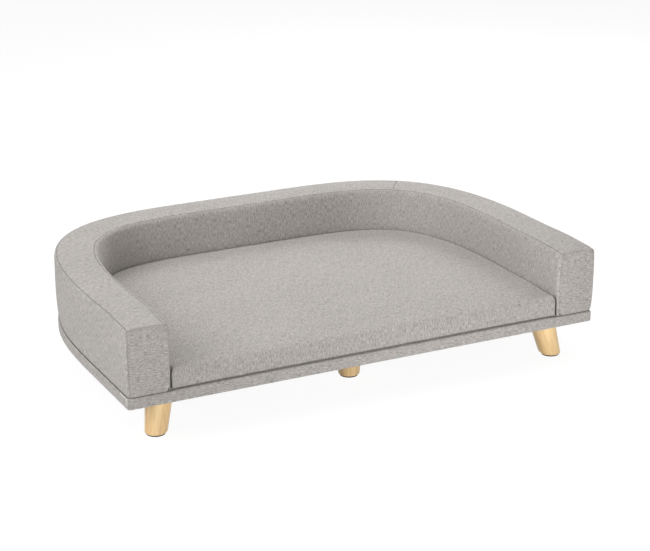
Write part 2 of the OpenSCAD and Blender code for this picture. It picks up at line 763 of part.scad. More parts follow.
// Cushion: rings of depth in from its side and height above its underside
cushion_inset = bolster_lip + bolster_t + cushion_gap;
cushion_front_y = front_y + cushion_setback;
cushion_mid_y = (cushion_front_y + back_y - cushion_inset) / 2;
crown_shares = [0.08, 0.25, 0.5, 0.75];
function cushion_ring(depth, z) = raised(
    d_line(cushion_inset, cushion_front_y, cushion_corner_r, depth, cushion_draw), cushion_z + z);
function cushion_side(d, arcs) =
    let (rb = cushion_bottom_r - d, rt = cushion_top_r - d)
    concat(
        [for (a = arcs) [cushion_bottom_r - rb * sin(a), cushion_bottom_r - rb * cos(a)]],
        [for (a = arcs) [cushion_top_r - rt * cos(a), cushion_h - cushion_top_r + rt * sin(a)]]);
function crown_rings(d) = [for (s = crown_shares)
    [for (p = cushion_ring(cushion_top_r, 0)) [
        p[0] * (1 - s),
        mix(p[1], cushion_mid_y, s),
        cushion_z + cushion_h - d + cushion_crown * (1 - pow(1 - s, 2))]]];
function cushion_tip(d) = [0, cushion_mid_y, cushion_z + cushion_h + cushion_crown - d];
side_arcs = [0, 30, 60, 90];
inner_arcs = [0, 45, 90];
function as_rings(profile) = [for (p = profile) cushion_ring(p[0], p[1])];

module cushion_cover() {
    color(fabric_colour) bowl_solid(
        concat([cushion_ring(cushion_hem_w, 0)], as_rings(cushion_side(0, side_arcs)), crown_rings(0)),
        concat([cushion_ring(cushion_hem_w, cover_t)], as_rings(cushion_side(cover_t, inner_arcs)),
            crown_rings(cover_t)),
        cushion_tip(0), cushion_tip(cover_t));
}

zip_l = bed_w * zip_l_share;
zip_y = front_y + bed_d * zip_back_share;
zip_tape_z = cushion_z + foam_face;
zip_mid_z = zip_tape_z + zip_tape_t / 2;
zip_half_gap = 0.55;
zip_reach = zip_half_gap + zip_row_w;
zip_end_l = 4;
slider_gap = 0.2;
slider_plate_t = 0.8;
slider_l = 11;
slider_w = 9;
slider_tip_share = 0.62;
slider_z = zip_mid_z - zip_row_t / 2 - slider_gap - slider_plate_t;
slider_h = zip_row_t + 2 * slider_gap + 2 * slider_plate_t;
zip_room = 1;

module zip_block(x, y, z, size) {
    translate([x, zip_y + y, z]) cube(size);
}

module cushion_foam() {
    d = foam_face;
    groove_w = 2 * (zip_reach + zip_tape_w + zip_room);
    groove_l = zip_l + 2 * (zip_end_l + zip_room);
    color(foam_colour) difference() {
        lofted_solid(
            concat(as_rings(cushion_side(d, inner_arcs)), crown_rings(d)),
            [0, cushion_mid_y, cushion_z + d], cushion_tip(d));
        zip_block(-groove_l / 2, -groove_w / 2, cushion_z,
            [groove_l, groove_w, slider_z + slider_h + zip_room - cushion_z]);
    }
}

module cushion_underside() {
    color(fabric_colour) difference() {
        slab(d_line(cushion_inset, cushion_front_y, cushion_corner_r,
            cushion_hem_w + seam_gap, cushion_draw), cushion_z, cover_t);
        zip_block(-zip_l / 2 - zip_end_l - zip_room, -zip_slit_w / 2, cushion_z - overrun,
            [zip_l + 2 * (zip_end_l + zip_room), zip_slit_w, cover_t + 2 * overrun]);
    }
}

module zip_tapes() {
    color(zip_colour) for (side = [-1, 1])
        zip_block(-zip_l / 2 - zip_end_l, side * (zip_reach + wood_fit + zip_tape_w / 2) - zip_tape_w / 2,
            zip_tape_z, [zip_l + 2 * zip_end_l, zip_tape_w, zip_tape_t]);
}

module zip_teeth() {
    color(zip_colour) for (side = [-1, 1])
        zip_block(-zip_l / 2, side * (zip_half_gap + zip_row_w / 2) - zip_row_w / 2,
            zip_mid_z - zip_row_t / 2, [zip_l, zip_row_w, zip_row_t]);
}

module zip_end_stops() {
    color(steel_colour) for (side = [-1, 1])
        zip_block(side * (zip_l + zip_end_l) / 2 - zip_end_l / 2 + side * wood_fit, -zip_reach,
            zip_mid_z - zip_row_t / 2, [zip_end_l, 2 * zip_reach, zip_row_t]);
}

// Slider at the closed end: two shield-shaped plates on a thin post between the rows
module zip_slider() {
    x0 = zip_l / 2 - slider_gap - slider_l;
    half = slider_w / 2;
    shield = [[0, -half * slider_tip_share], [slider_l / 3, -half * slider_tip_share],
        [slider_l * 2 / 3, -half], [slider_l, -half], [slider_l, half],
        [slider_l * 2 / 3, half], [slider_l / 3, half * slider_tip_share], [0, half * slider_tip_share]];
    color(steel_colour) translate([x0, zip_y, slider_z]) {
        linear_extrude(slider_plate_t) polygon(shield);
        translate([0, 0, slider_h - slider_plate_t]) linear_extrude(slider_plate_t) polygon(shield);
        translate([slider_l / 4, -(zip_half_gap - slider_gap), 0])
            cube([slider_l / 2, 2 * (zip_half_gap - slider_gap), slider_h]);
    }
}

base_board();
base_pad();
base_edge_foam();
base_cover();
base_dust_cloth();
leg(feet[0]);  // leg_front_left
leg(feet[1]);  // leg_front_right
leg(feet[2]);  // leg_rear_left
leg(feet[3]);  // leg_rear_right
leg(feet[4]);  // leg_middle
foot_glides();
leg_plate(feet[0]);  // leg_plate_front_left
leg_plate(feet[1]);  // leg_plate_front_right
leg_plate(feet[2]);  // leg_plate_rear_left
leg_plate(feet[3]);  // leg_plate_rear_right
leg_plate(feet[4]);  // leg_plate_middle
leg_plate_screws();
leg_bolts();
bottom_rail_piece("left");  // bottom_rail_left
bottom_rail_piece("right");  // bottom_rail_right
bottom_rail_piece("back");  // bottom_rail_back
top_rail_piece("left");  // top_rail_left
top_rail_piece("right");  // top_rail_right
top_rail_piece("back");  // top_rail_back
bolster_uprights();
arm_end_board(-1);  // arm_end_board_left
arm_end_board(1);  // arm_end_board_right
skin_board(skin_face);  // outer_skin_board
skin_board(bolster_t - skin_face - skin_t);  // inner_skin_board
bolster_foam();
arm_end_pads();
bolster_outer_band();
bolster_inner_band();
bolster_top_strip();
bolster_top_strip_right();
arm_end_panel(-1);  // arm_end_panel_left
arm_end_panel(1);  // arm_end_panel_right
bolster_bolts();
bolster_washers();
bolster_tee_nuts();
cushion_foam();
cushion_cover();
cushion_underside();
zip_tapes();
zip_teeth();
zip_end_stops();
zip_slider();
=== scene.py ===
"""A dog sofa bed: its upholstery, legs and fittings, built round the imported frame."""

import math

import bmesh
import bpy
import numpy as np
from bpy.props import FloatProperty, FloatVectorProperty, PointerProperty
from bpy.types import Operator, Panel, PropertyGroup
from mathutils import Matrix, Vector
from mathutils.kdtree import KDTree


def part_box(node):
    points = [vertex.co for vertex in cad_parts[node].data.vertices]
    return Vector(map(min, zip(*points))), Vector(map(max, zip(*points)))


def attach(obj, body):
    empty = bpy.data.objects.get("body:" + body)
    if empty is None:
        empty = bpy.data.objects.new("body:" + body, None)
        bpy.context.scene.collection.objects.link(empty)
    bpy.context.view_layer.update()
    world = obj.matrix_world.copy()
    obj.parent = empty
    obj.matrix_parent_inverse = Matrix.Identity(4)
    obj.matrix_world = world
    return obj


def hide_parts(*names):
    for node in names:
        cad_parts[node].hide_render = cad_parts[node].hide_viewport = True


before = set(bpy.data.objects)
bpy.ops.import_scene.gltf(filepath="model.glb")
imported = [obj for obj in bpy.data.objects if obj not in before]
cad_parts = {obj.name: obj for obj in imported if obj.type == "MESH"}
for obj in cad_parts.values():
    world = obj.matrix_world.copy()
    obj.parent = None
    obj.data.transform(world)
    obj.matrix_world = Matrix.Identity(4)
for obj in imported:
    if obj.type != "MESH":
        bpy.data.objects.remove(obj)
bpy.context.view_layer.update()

bl_info = {
    "name": "Dog sofa bed",
    "version": (1, 0, 0),
    "blender": (4, 5, 0),
    "location": "3D View > Sidebar > Dog sofa",
    "description": "Upholstery, legs and fittings of a D-shaped dog sofa bed",
    "category": "Object",
}

MM = 0.001
TINY = 1e-9
BASE_LOW, BASE_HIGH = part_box("base_cover")
LINING_LOW, LINING_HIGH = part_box("base_dust_cloth")
UNDERSIDE_LOW, UNDERSIDE_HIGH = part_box("cushion_underside")
TAPE_LOW, TAPE_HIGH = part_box("zip_tapes")
TEETH_LOW, TEETH_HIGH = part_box("zip_teeth")
SLIDER_LOW, SLIDER_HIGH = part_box("zip_slider")
LEGS = ["leg_front_left", "leg_front_right", "leg_rear_left", "leg_rear_right", "leg_middle"]
PLATES = [name.replace("leg_", "leg_plate_") for name in LEGS]
ZIP_Y = (TEETH_LOW.y + TEETH_HIGH.y) / 2
LEG_LEAN = math.tan(math.radians(11.3))


# ---- Sizes and colours that a user would change ----


def size(name, description, millimetres):
    return FloatProperty(
        name=name, description=description, default=millimetres * MM, unit="LENGTH",
        subtype="DISTANCE", precision=4,
    )


def share(name, description, value):
    return FloatProperty(name=name, description=description, default=value, precision=3)


def angle(name, description, degrees):
    return FloatProperty(
        name=name, description=description, default=math.radians(degrees), subtype="ANGLE"
    )


def lamp_power(name, watts):
    return FloatProperty(name=name, description="Power of the lamp", default=watts, unit="POWER")


def colour(name, description, rgb):
    return FloatVectorProperty(
        name=name, description=description, default=rgb, subtype="COLOR", min=0.0, max=1.0
    )


class PlanSizes(PropertyGroup):
    """The D-shaped outline that base, bolster and cushion share."""

    width: size("Width", "Width of the base", (BASE_HIGH.x - BASE_LOW.x) / MM)
    depth: size("Depth", "Depth of the base", (BASE_HIGH.y - BASE_LOW.y) / MM)
    corner_w_share: share(
        "Corner width share", "Reach of a rear corner along the back, of half the width", 0.82
    )
    corner_d_share: share(
        "Corner depth share", "Reach of a rear corner along the side, of the depth", 0.745
    )
    squareness: share("Squareness", "Power of the rear corners' superellipse", 3.1)
    front_corner_r: size("Front corner radius", "Radius of the base's front corners", 6)
    lip: size("Lip", "Distance by which the base stands out past the bolster", 2)


class BaseSizes(PropertyGroup):
    """The padded base."""

    top_r: size("Top radius", "Radius of the cover over the base's top edge", 3.8)
    bottom_r: size("Bottom radius", "Radius of the cover under the base's edge", 2.4)
    hem_w: size("Hem width", "Width of the hem turned under the board", 32)
    fold_depth: size("Fold depth", "Depth of the folded pleat at each front corner", 1.1)
    fold_w: size("Fold width", "Half width of the folded pleat", 1.6)
    sink: size("Sink", "Depth by which bolster and cushion press the base's edge down", 3.2)
    front_rise: size("Front rise", "Part of the sink missing between the arms", 1.2)
    sink_from: size("Sink start", "Depth in from the edge at which the top starts to rise", 6)
    sink_to: size("Sink end", "Depth in from the edge at which the top is level", 12)
    shade: share("Shade", "Shade on the border that the bolster stands on", 1.5)
    shade_from: size("Shade start", "Depth in from the edge at which that shade starts", 1.5)
    shade_to: size("Shade end", "Depth in from the edge at which that shade is full", 2.6)
    cloth_inset: size("Dust cloth inset", "Distance of the dust cloth from the edge", 20)
    staple_step: size("Staple step", "Distance between two staples", 42)


class BolsterSizes(PropertyGroup):
    """The U-shaped padded bolster."""

    height: size("Height", "Height at the crown, above the base", 132)
    thickness: size("Thickness", "From the outer to the inner face", 78)
    edge_r: size("Edge radius", "Radius of the two top edges", 7)
    seam_turn: angle("Seam turn", "Place of the top seams on the edges' rolls", 66)
    crown: size("Crown", "Rise of the padded top between its seams", 2)
    swell: size("Swell", "Swell of the padded faces", 0.8)
    bulge: size("Bulge", "Distance by which the outer face bulges out at its top", 3.2)
    tuck: size("Tuck", "Height over which the outer face is drawn in to the base", 26)
    hump: size("Hump", "Height of the hump on each arm", 2.2)
    hump_back: size("Hump place", "Distance of the hump behind the arm's front", 95)
    hump_w: size("Hump width", "Reach of the hump along the arm", 60)
    front_drop: size("Front drop", "Drop of the top at the arm's front", 3)
    drop_w: size("Drop width", "Length over which the top drops", 9)
    left_drop: share("Left drop", "Part of the drop that the left arm has", 0.45)
    inner_seam_turn: angle("Inner seam turn", "Place of the inner top seam on its roll", 88)
    widen_left: size("Left widening", "Distance by which the left arm is stuffed wider", 8.0)
    widen_right: size("Right widening", "Distance by which the right arm is stuffed wider", 3.4)
    left_front: share("Left front", "Part of the left widening at the arm's very front", 0.4)
    roll_l: size("Roll length", "Cloth that rolls over an arm's front", 7)
    shoulder: size("Shoulder", "Slope of the inner face back to its seam", 3.4)
    shoulder_h: size("Shoulder height", "Height over which the inner face slopes back", 45)
    panel_r: size("Panel radius", "Radius of a front panel's sewn edge", 0.35)
    foot_r: size("Foot radius", "Radius of a front panel's lower edge", 3.5)
    front_lip: size("Front lip", "Distance of the arms' fronts from the base's front", 0.8)
    panel_crown: size("Panel crown", "Swell of an arm's front panel", 1)
    lift: size("Lift", "Gap between base and bolster", 0.25)
    join_angle: angle("Join angle", "Place of the top strip's join on the rear corner", 54.5)


class SeamSizes(PropertyGroup):
    """Sewn seams and the creases that they draw."""

    width: size("Width", "Width over which a panel rolls into its seam", 1.5)
    depth: size("Depth", "Depth of the groove along a seam", 1.1)
    join_depth: size("Join depth", "Depth of the groove along the top strip's join", 1.43)
    gap: size("Gap", "Gap between two panels in the groove", 0.3)
    hem_w: size("Hem width", "Width over which a panel turns under the bolster", 2.6)
    hem_depth: size("Hem depth", "Depth to which a panel turns under the bolster", 2.2)
    front_gap: size("Front gap", "Gap round a front panel", 0.1)
    front_w: size("Front width", "Width over which cloth rolls into a front panel's seam", 1.3)
    front_depth: size("Front depth", "Depth of the groove round a front panel", 0.12)
    pucker: size("Pucker", "Height of the puckers beside a seam", 0.3)
    ripple: size("Ripple", "Height of the ripples on an arm's front panel", 0.34)
    undulation: size("Undulation", "Slow waviness of the padded faces", 0.5)


class CushionSizes(PropertyGroup):
    """The loose cushion."""

    height: size("Height", "Height at the shoulder", 42)
    crown: size("Crown", "Rise of the crown above the shoulder", 3)
    gap: size("Gap", "Gap to the bolster's inner face", 2.3)
    hover: size("Hover", "Gap under the front's lower edge", 1.2)
    setback: size("Setback", "Distance of its front from the base's front", 1.6)
    top_r: size("Top radius", "Radius of the top edge at the front", 14)
    side_r: size("Side radius", "Radius of the top edge at the sides and the back", 4.5)
    bottom_r: size("Bottom radius", "Radius of the bottom edge", 3.5)
    corner_r: size("Corner radius", "Radius of the two front corners", 5.5)
    draw: size("Draw", "Depth by which the front is drawn in", 2)
    hem_w: size("Hem width", "Width of the cover's edge turned under", 12)
    give_left: share("Left give", "Part of the left arm's widening that it gives way to", 0.85)
    give_right: share("Right give", "Part of the right arm's widening it gives way to", 0.56)
    corner_in: size("Corner draw", "Distance by which its lower front corners draw in", 1)
    core_in: size("Core draw", "Distance by which the foam's front corners are rounded off", 3)
    slack: size("Slack", "Distance by which the stuffing starts inside the cover", 2.5)
    swell_limit: size("Swell limit", "Furthest that the stuffing pushes the skin", 3.6)
    stretch: size("Stretch", "Furthest that the sewn cover gives", 1.4)
    voxel: size("Voxel", "Mesh size of the simulated cloth", 7)
    pressure: share("Pressure", "Pressure of the stuffing", 4)


class ClothLook(PropertyGroup):
    """The woven upholstery cloth."""

    light: colour("Light thread", "Colour of the light threads", (0.64, 0.607, 0.578))
    dark: colour("Dark thread", "Colour of the dark threads", (0.205, 0.190, 0.178))
    thickness: size("Thickness", "Thickness of the lined cloth", 1.5)
    pitch: size("Thread pitch", "Two threads of the weave", 2.1)
    slub_w: size("Slub width", "Width of a slub in the heavy threads", 1.22)
    slub_l: size("Slub length", "Length of a slub in the heavy threads", 8.0)
    relief: size("Relief", "Height of the slubs", 0.25)
    crease: share("Crease", "Part of the light that a seam's crease loses", 0.45)


class FinishLook(PropertyGroup):
    """Wood, metal, foam and trim."""

    leg_light: colour("Leg light", "Light grain of the legs", (0.98, 0.705, 0.36))
    leg_dark: colour("Leg dark", "Dark grain of the legs", (0.74, 0.46, 0.2))
    plywood: colour("Plywood", "Face of the plywood", (0.66, 0.49, 0.30))
    hardboard: colour("Hardboard", "Face of the hardboard", (0.30, 0.175, 0.095))
    steel: colour("Steel", "Zinc-plated steel", (0.60, 0.61, 0.62))
    foam: colour("Foam", "Upholstery foam", (0.86, 0.78, 0.56))
    lining: colour("Dust cloth", "Black non-woven cloth", (0.022, 0.022, 0.024))
    felt: colour("Felt", "Felt of the glides", (0.07, 0.055, 0.045))
    tape: colour("Zip tape", "Tape of the zip", (0.30, 0.29, 0.275))
    teeth: colour("Zip teeth", "Coil of the zip", (0.22, 0.215, 0.205))
    thread: colour("Thread", "Hand stitches at the base's corner", (0.95, 0.95, 0.93))


class StageLook(PropertyGroup):
    """Camera, lamps and floor."""

    azimuth: angle("Azimuth", "Turn of the camera round the bed", -27.033)
    elevation: angle("Elevation", "Height of the camera above the horizon", 19.523)
    distance: size("Distance", "From the camera to its target", 3797.853)
    target: FloatVectorProperty(
        name="Target", description="Point on the bed that the camera's place is measured from",
        default=(0.0, 3.7 * MM, 146.4 * MM), unit="LENGTH", subtype="TRANSLATION",
    )
    aside: size("Aside", "Shift of the camera to its right", 63.139)
    above: size("Above", "Shift of the camera upward", 1.186)
    lens: FloatProperty(name="Lens", description="Focal length", default=102.915, unit="CAMERA")
    shift: FloatVectorProperty(
        name="Lens shift", description="Shift of the picture across and up, of its width",
        size=2, default=(-3.07 / 650, -0.266 / 650), precision=5,
    )
    left: lamp_power("Left lamp", 40.5)
    left_high: lamp_power("High left lamp", 22.0)
    rear_right: lamp_power("Rear right lamp", 50.9)
    overhead: lamp_power("Overhead lamp", 15.4)
    front_low: lamp_power("Low front lamp", 29.2)
    front_near: lamp_power("Near front lamp", 3.7)


GROUPS = {
    "dog_sofa_plan": PlanSizes,
    "dog_sofa_base": BaseSizes,
    "dog_sofa_bolster": BolsterSizes,
    "dog_sofa_seam": SeamSizes,
    "dog_sofa_cushion": CushionSizes,
    "dog_sofa_cloth": ClothLook,
    "dog_sofa_finish": FinishLook,
    "dog_sofa_stage": StageLook,
}


def sizes(name):
    """One of the groups of sizes, as the scene has it."""
    return getattr(bpy.context.scene, "dog_sofa_" + name)


# ---- Lines, rings and grids of points ----


def unit_rows(rows):
    return rows / np.linalg.norm(rows, axis=-1, keepdims=True)


class Line:
    """A line of points that is read at any lengths along it."""

    def __init__(self, points, normals=None, side=1):
        self.points = np.asarray(points, float)
        steps = np.linalg.norm(np.diff(self.points, axis=0), axis=1)
        self.lengths = np.concatenate([[0.0], np.cumsum(steps)])
        if normals is None:
            tangent = np.gradient(self.points, self.lengths, axis=0)
            normals = side * np.stack([-tangent[:, 1], tangent[:, 0]], 1)
        self.normals = unit_rows(np.asarray(normals, float))
        self.total = self.lengths[-1]

    def at(self, where):
        """Points and unit normals at the given lengths."""
        return self.read(where, self.points), unit_rows(self.read(where, self.normals))

    def read(self, where, rows):
        return np.stack([np.interp(where, self.lengths, column) for column in rows.T], 1)


def rear_corner(inset=0.0, samples=600):
    """The right rear corner from the side to the back: points, outward normals, turns."""
    plan = sizes("plan")
    turn = (1 - np.cos(np.pi * np.linspace(0, 1, samples))) * np.pi / 4
    c, s = np.clip(np.cos(turn), 0, 1), np.sin(turn)
    reach_x = plan.width / 2 * plan.corner_w_share
    reach_y = plan.depth * plan.corner_d_share
    power = 2 / plan.squareness
    x = plan.width / 2 - reach_x + reach_x * c**power
    y = plan.depth / 2 - reach_y + reach_y * s**power
    points = np.stack([x, y], 1)
    normals = unit_rows(np.stack([c ** (2 - power) / reach_x, s ** (2 - power) / reach_y], 1))
    return points - normals * inset, normals, turn


def mirrored(rows):
    return rows[::-1] * [-1, 1]


def bolster_line(start_y):
    """The bolster's outer face in plan, from the right arm round the back to the left,
    and the length along it at which the top strip is joined."""
    plan = sizes("plan")
    corner, normals, turn = rear_corner(plan.lip)
    straight = 40
    side_y = np.linspace(start_y, corner[0, 1], straight, endpoint=False)
    side = np.stack([np.full(straight, corner[0, 0]), side_y], 1)
    right = np.vstack([side, corner])
    out = np.vstack([np.tile([1.0, 0.0], (straight, 1)), normals])
    line = Line(np.vstack([right, mirrored(right)]), np.vstack([out, mirrored(out)]))
    join = line.lengths[straight + int(np.argmin(abs(turn - sizes("bolster").join_angle)))]
    return line, join


def spaced(total, step):
    """Lengths from 0 to the total, closer together beside the seams at both ends."""
    first = np.array([0, 0.2, 0.5, 0.9, 1.4, 2.0, 2.8, 4.2]) * MM
    last = total - first[::-1]
    middle = np.linspace(first[-1], last[0], max(2, round((last[0] - first[-1]) / step) + 1))
    return np.concatenate([first[:-1], middle, last[1:]])


def roll_in(distance, width, depth):
    """Depth to which a panel rolls down at a distance from its edge."""
    near = np.clip(1 - distance / width, 0, 1)
    return depth * (1 - np.sqrt(1 - near**2))


def waves(along, lengths, phase):
    """An uneven wavy line: a sum of waves whose lengths don't fit each other."""
    total = sum(
        np.sin(2 * np.pi * along / length + phase * (k + 1.7))
        for k, length in enumerate(lengths)
    )
    return total / len(lengths)


def eased(x, low, high):
    """0 up to the low end, 1 from the high end on, and a smooth rise between them."""
    u = np.clip((x - low) / (high - low), 0, 1)
    return u * u * (3 - 2 * u)


def level(flat, z):
    """Points of a plan, all at one height or each at its own."""
    return np.column_stack([flat, np.broadcast_to(z, len(flat))])


def grid_quads(rows, cols, start, wrap):
    """Quads of a grid of points, whose rows may be closed rings."""
    i, j = np.meshgrid(np.arange(rows - 1), np.arange(cols if wrap else cols - 1), indexing="ij")
    k = (j + 1) % cols
    corners = [i * cols + j, i * cols + k, (i + 1) * cols + k, (i + 1) * cols + j]
    return [tuple(q) for q in (start + np.stack(corners, -1).reshape(-1, 4)).tolist()]


def closed_sheet(outer, inner):
    """Points and faces of a sheet between two grids of the same size."""
    rows, cols = outer.shape[:2]
    half = rows * cols
    faces = grid_quads(rows, cols, 0, False) + grid_quads(rows, cols, half, False)
    rim = (
        [j for j in range(cols)]
        + [i * cols + cols - 1 for i in range(1, rows)]
        + [(rows - 1) * cols + j for j in range(cols - 2, -1, -1)]
        + [i * cols for i in range(rows - 2, 0, -1)]
    )
    for k, a in enumerate(rim):
        b = rim[(k + 1) % len(rim)]
        faces.append((a, b, half + b, half + a))
    return np.vstack([outer.reshape(-1, 3), inner.reshape(-1, 3)]), faces


def closed_bowl(outer, inner, outer_tip, inner_tip):
    """Points and faces of a bowl: rings from its border to a tip, outside and inside."""
    cols = outer.shape[1]
    inside = outer.shape[0] * cols
    tip = inside + inner.shape[0] * cols
    faces = grid_quads(outer.shape[0], cols, 0, True)
    faces += grid_quads(inner.shape[0], cols, inside, True)
    for j in range(cols):
        k = (j + 1) % cols
        faces.append((inside - cols + j, inside - cols + k, tip))
        faces.append((tip - cols + j, tip - cols + k, tip + 1))
        faces.append((j, k, inside + k, inside + j))
    points = [outer.reshape(-1, 3), inner.reshape(-1, 3), [outer_tip], [inner_tip]]
    return np.vstack(points), faces


def closed_body(rings, first_tip, last_tip):
    """Points and faces of a solid of rings between two tips."""
    rows, cols = rings.shape[:2]
    last = (rows - 1) * cols
    tip = rows * cols
    faces = grid_quads(rows, cols, 0, True)
    for j in range(cols):
        k = (j + 1) % cols
        faces.append((j, k, tip))
        faces.append((last + j, last + k, tip + 1))
    return np.vstack([rings.reshape(-1, 3), [first_tip], [last_tip]]), faces


def closed_ring(section_rings):
    """Points and faces of a closed loop swept from closed sections: (stations, section)."""
    rows, cols = section_rings.shape[:2]
    i, j = np.meshgrid(np.arange(rows), np.arange(cols), indexing="ij")
    i2, j2 = (i + 1) % rows, (j + 1) % cols
    quads = np.stack([i * cols + j, i * cols + j2, i2 * cols + j2, i2 * cols + j], -1)
    return section_rings.reshape(-1, 3), [tuple(q) for q in quads.reshape(-1, 4).tolist()]


# ---- Pieces ----


def finished_mesh(name, points, faces, weave=None, smooth=True):
    """A mesh with its faces turned outward, and its places on the flat cloth or wood."""
    mesh = bpy.data.meshes.new(name)
    mesh.from_pydata([tuple(p) for p in np.asarray(points, float).tolist()], [], faces)
    work = bmesh.new()
    work.from_mesh(mesh)
    bmesh.ops.recalc_face_normals(work, faces=work.faces)
    work.to_mesh(mesh)
    work.free()
    mesh.polygons.foreach_set("use_smooth", [smooth] * len(mesh.polygons))
    if weave is not None:
        lay = mesh.attributes.new("weave", "FLOAT_VECTOR", "POINT")
        lay.data.foreach_set("vector", np.asarray(weave, np.float32).ravel())
    mesh.update()
    return mesh


def piece(name, mesh, body, slot, stands_for=(), finish=None):
    """A piece that rides on a body and stands for its CAD nodes. Its finish has the
    slot's name where no other is given."""
    made = bpy.data.objects.new(name, mesh)
    bpy.context.scene.collection.objects.link(made)
    mesh.materials.clear()
    mesh.materials.append(material(finish or slot))
    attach(made, body)
    if stands_for:
        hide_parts(*stands_for)
    return made


def shaped_piece(name, shape, body, slot, stands_for=(), weave=None, smooth=True, finish=None):
    """A piece of a shape's points and faces."""
    mesh = finished_mesh(name, *shape, weave, smooth)
    return piece(name, mesh, body, slot, stands_for, finish)


def cloth_lay(across, along, crease=0.0, tips=()):
    """Places on the flat cloth for both sides of a sheet: across and along its heavy
    threads, and how much shade is painted on it in a crease or gap. The tips of a bowl follow."""
    grids = np.broadcast_arrays(across, along, crease)
    rows = np.stack([grid.ravel() for grid in grids], 1)
    return np.vstack([rows, rows, *[np.reshape(tip, (1, 3)) for tip in tips]])


# ---- Materials ----


class Recipe:
    """The nodes of a material or a sky, added one after another."""

    def __init__(self, owner):
        self.owner = bpy.data.materials.new(owner) if isinstance(owner, str) else owner
        self.owner.use_nodes = True
        self.tree = self.owner.node_tree
        self.shader = self.tree.nodes.get("Principled BSDF")

    def add(self, kind, inputs=None, out=0, **settings):
        """A node with its inputs and settings; one of its outputs comes back."""
        made = self.tree.nodes.new("ShaderNode" + kind)
        for key, value in settings.items():
            setattr(made, key, value)
        for key, value in (inputs or {}).items():
            self.feed(made.inputs[key], value)
        return made.outputs[out]

    def feed(self, socket, value):
        """A link from another node, or a plain value."""
        if isinstance(value, bpy.types.NodeSocket):
            self.tree.links.new(value, socket)
        else:
            socket.default_value = value

    def set(self, **inputs):
        """The shader's inputs, with underscores for the spaces in their names."""
        for key, value in inputs.items():
            self.feed(self.shader.inputs[key.replace("_", " ")], value)

    def finished(self, tone, light, dark, part, **inputs):
        """The material, whose colour goes from the light one part of the way to a dark."""
        darker = tuple(a + (b - a) * part for a, b in zip(light, dark))
        self.set(Base_Color=self.blend(tone, darker, light), **inputs)
        return self.owner

    def place(self):
        """Coordinates on the piece itself."""
        return self.add("TexCoord", out=3)

    def weave(self):
        """Coordinates on the flat cloth, with the amount of painted shade as the third, or along
        the wood's grain.
        """
        return self.add("Attribute", out=1, attribute_name="weave")

    def calc(self, operation, a, b=0.0, c=0.0):
        return self.add("Math", {0: a, 1: b, 2: c}, operation=operation)

    def split(self, vector):
        return self.add("SeparateXYZ", {0: vector}).node.outputs

    def scaled(self, vector, factors):
        return self.add("VectorMath", {0: vector, 1: factors}, operation="MULTIPLY")

    def noise(self, vector, scale=1.0, detail=2.0, roughness=0.5, out=0):
        inputs = {"Vector": vector, "Scale": scale, "Detail": detail, "Roughness": roughness}
        return self.add("TexNoise", inputs, out=out)

    def summed(self, start, *terms):
        """The start plus each (socket, middle, weight): (socket - middle) * weight."""
        total = start
        for socket, middle, weight in terms:
            centred = self.calc("MULTIPLY_ADD", socket, weight, -middle * weight)
            total = self.calc("ADD", total, centred)
        return total

    def blend(self, factor, a, b):
        inputs = {0: factor, 6: (*a, 1.0), 7: (*b, 1.0)}
        return self.add("Mix", inputs, out=2, data_type="RGBA", clamp_factor=True)

    def bump(self, height, strength=1.0):
        return self.add("Bump", {"Height": height, "Distance": 1.0, "Strength": strength})


def woven_cloth():
    """Light warm-grey cloth: a plain weave with slubs along its heavy threads."""
    look = sizes("cloth")
    m = Recipe("woven_cloth")
    flat = m.weave()
    wander = m.scaled(m.noise(flat, 28.0, 2.0, out=1), (0.006, 0.002, 0.0))
    lay = m.add("VectorMath", {0: flat, 1: wander}, operation="ADD")
    w, l = 1 / look.slub_w, 1 / look.slub_l
    heavy = m.noise(m.scaled(lay, (w, l, 0.0)), detail=1.5)
    streak = m.noise(m.scaled(lay, (0.52 * w, 0.28 * l, 0.0)), detail=1.0)
    cross = m.noise(m.scaled(lay, (0.6 * l, 0.85 * w, 0.0)), detail=1.5)
    fleck = m.noise(m.scaled(lay, (1.2 * w, 1.2 * w, 0.0)), detail=1.0)
    across, along, _ = m.split(lay)
    turn = 2 * math.pi / look.pitch
    over = m.calc("SINE", m.calc("MULTIPLY", across, turn))
    under = m.calc("SINE", m.calc("MULTIPLY", along, turn))
    weave = m.calc("MULTIPLY", over, under)
    cloud = m.noise(m.place(), 7.0, 3.0)
    tone = m.summed(
        0.5, (heavy, 0.5, 1.55), (streak, 0.5, 0.5), (cross, 0.5, 0.55), (fleck, 0.5, 0.9),
        (weave, 0.0, 0.06), (cloud, 0.5, 0.16),
    )
    height = m.summed(
        0.0, (heavy, 0.5, look.relief), (cross, 0.5, look.relief * 0.4),
        (weave, 0.0, look.relief * 0.15),
    )
    # Painted shade: the weave's third channel darkens the colour in the seams' creases, in the
    # corner pleats, on the base's border under the bolster and in the gaps beside the cushion.
    _, _, crease = m.split(flat)
    painted_shade_loss = m.calc("MULTIPLY", m.calc("POWER", crease, 1.5), look.crease)
    kept = m.calc("SUBTRACT", 1.0, m.calc("MINIMUM", painted_shade_loss, 0.85))
    m.set(
        Base_Color=m.scaled(m.blend(tone, look.dark, look.light), kept), Roughness=0.93,
        Specular_IOR_Level=0.2, Sheen_Weight=0.12, Sheen_Roughness=0.5, Normal=m.bump(height),
    )
    return m.owner


def foam_cells():
    """Upholstery foam with its open cells."""
    look = sizes("finish").foam
    m = Recipe("foam_cells")
    cells = m.add("TexVoronoi", {"Vector": m.place(), "Scale": 900.0})
    skin = m.noise(m.place(), 60.0, 4.0)
    tone = m.summed(0.6, (cells, 0.4, -0.5), (skin, 0.5, 0.4))
    return m.finished(
        tone, look, (0.5, 0.4, 0.2), 0.4, Roughness=0.95,
        Specular_IOR_Level=0.1, Normal=m.bump(m.calc("MULTIPLY", cells, -0.0006)),
    )


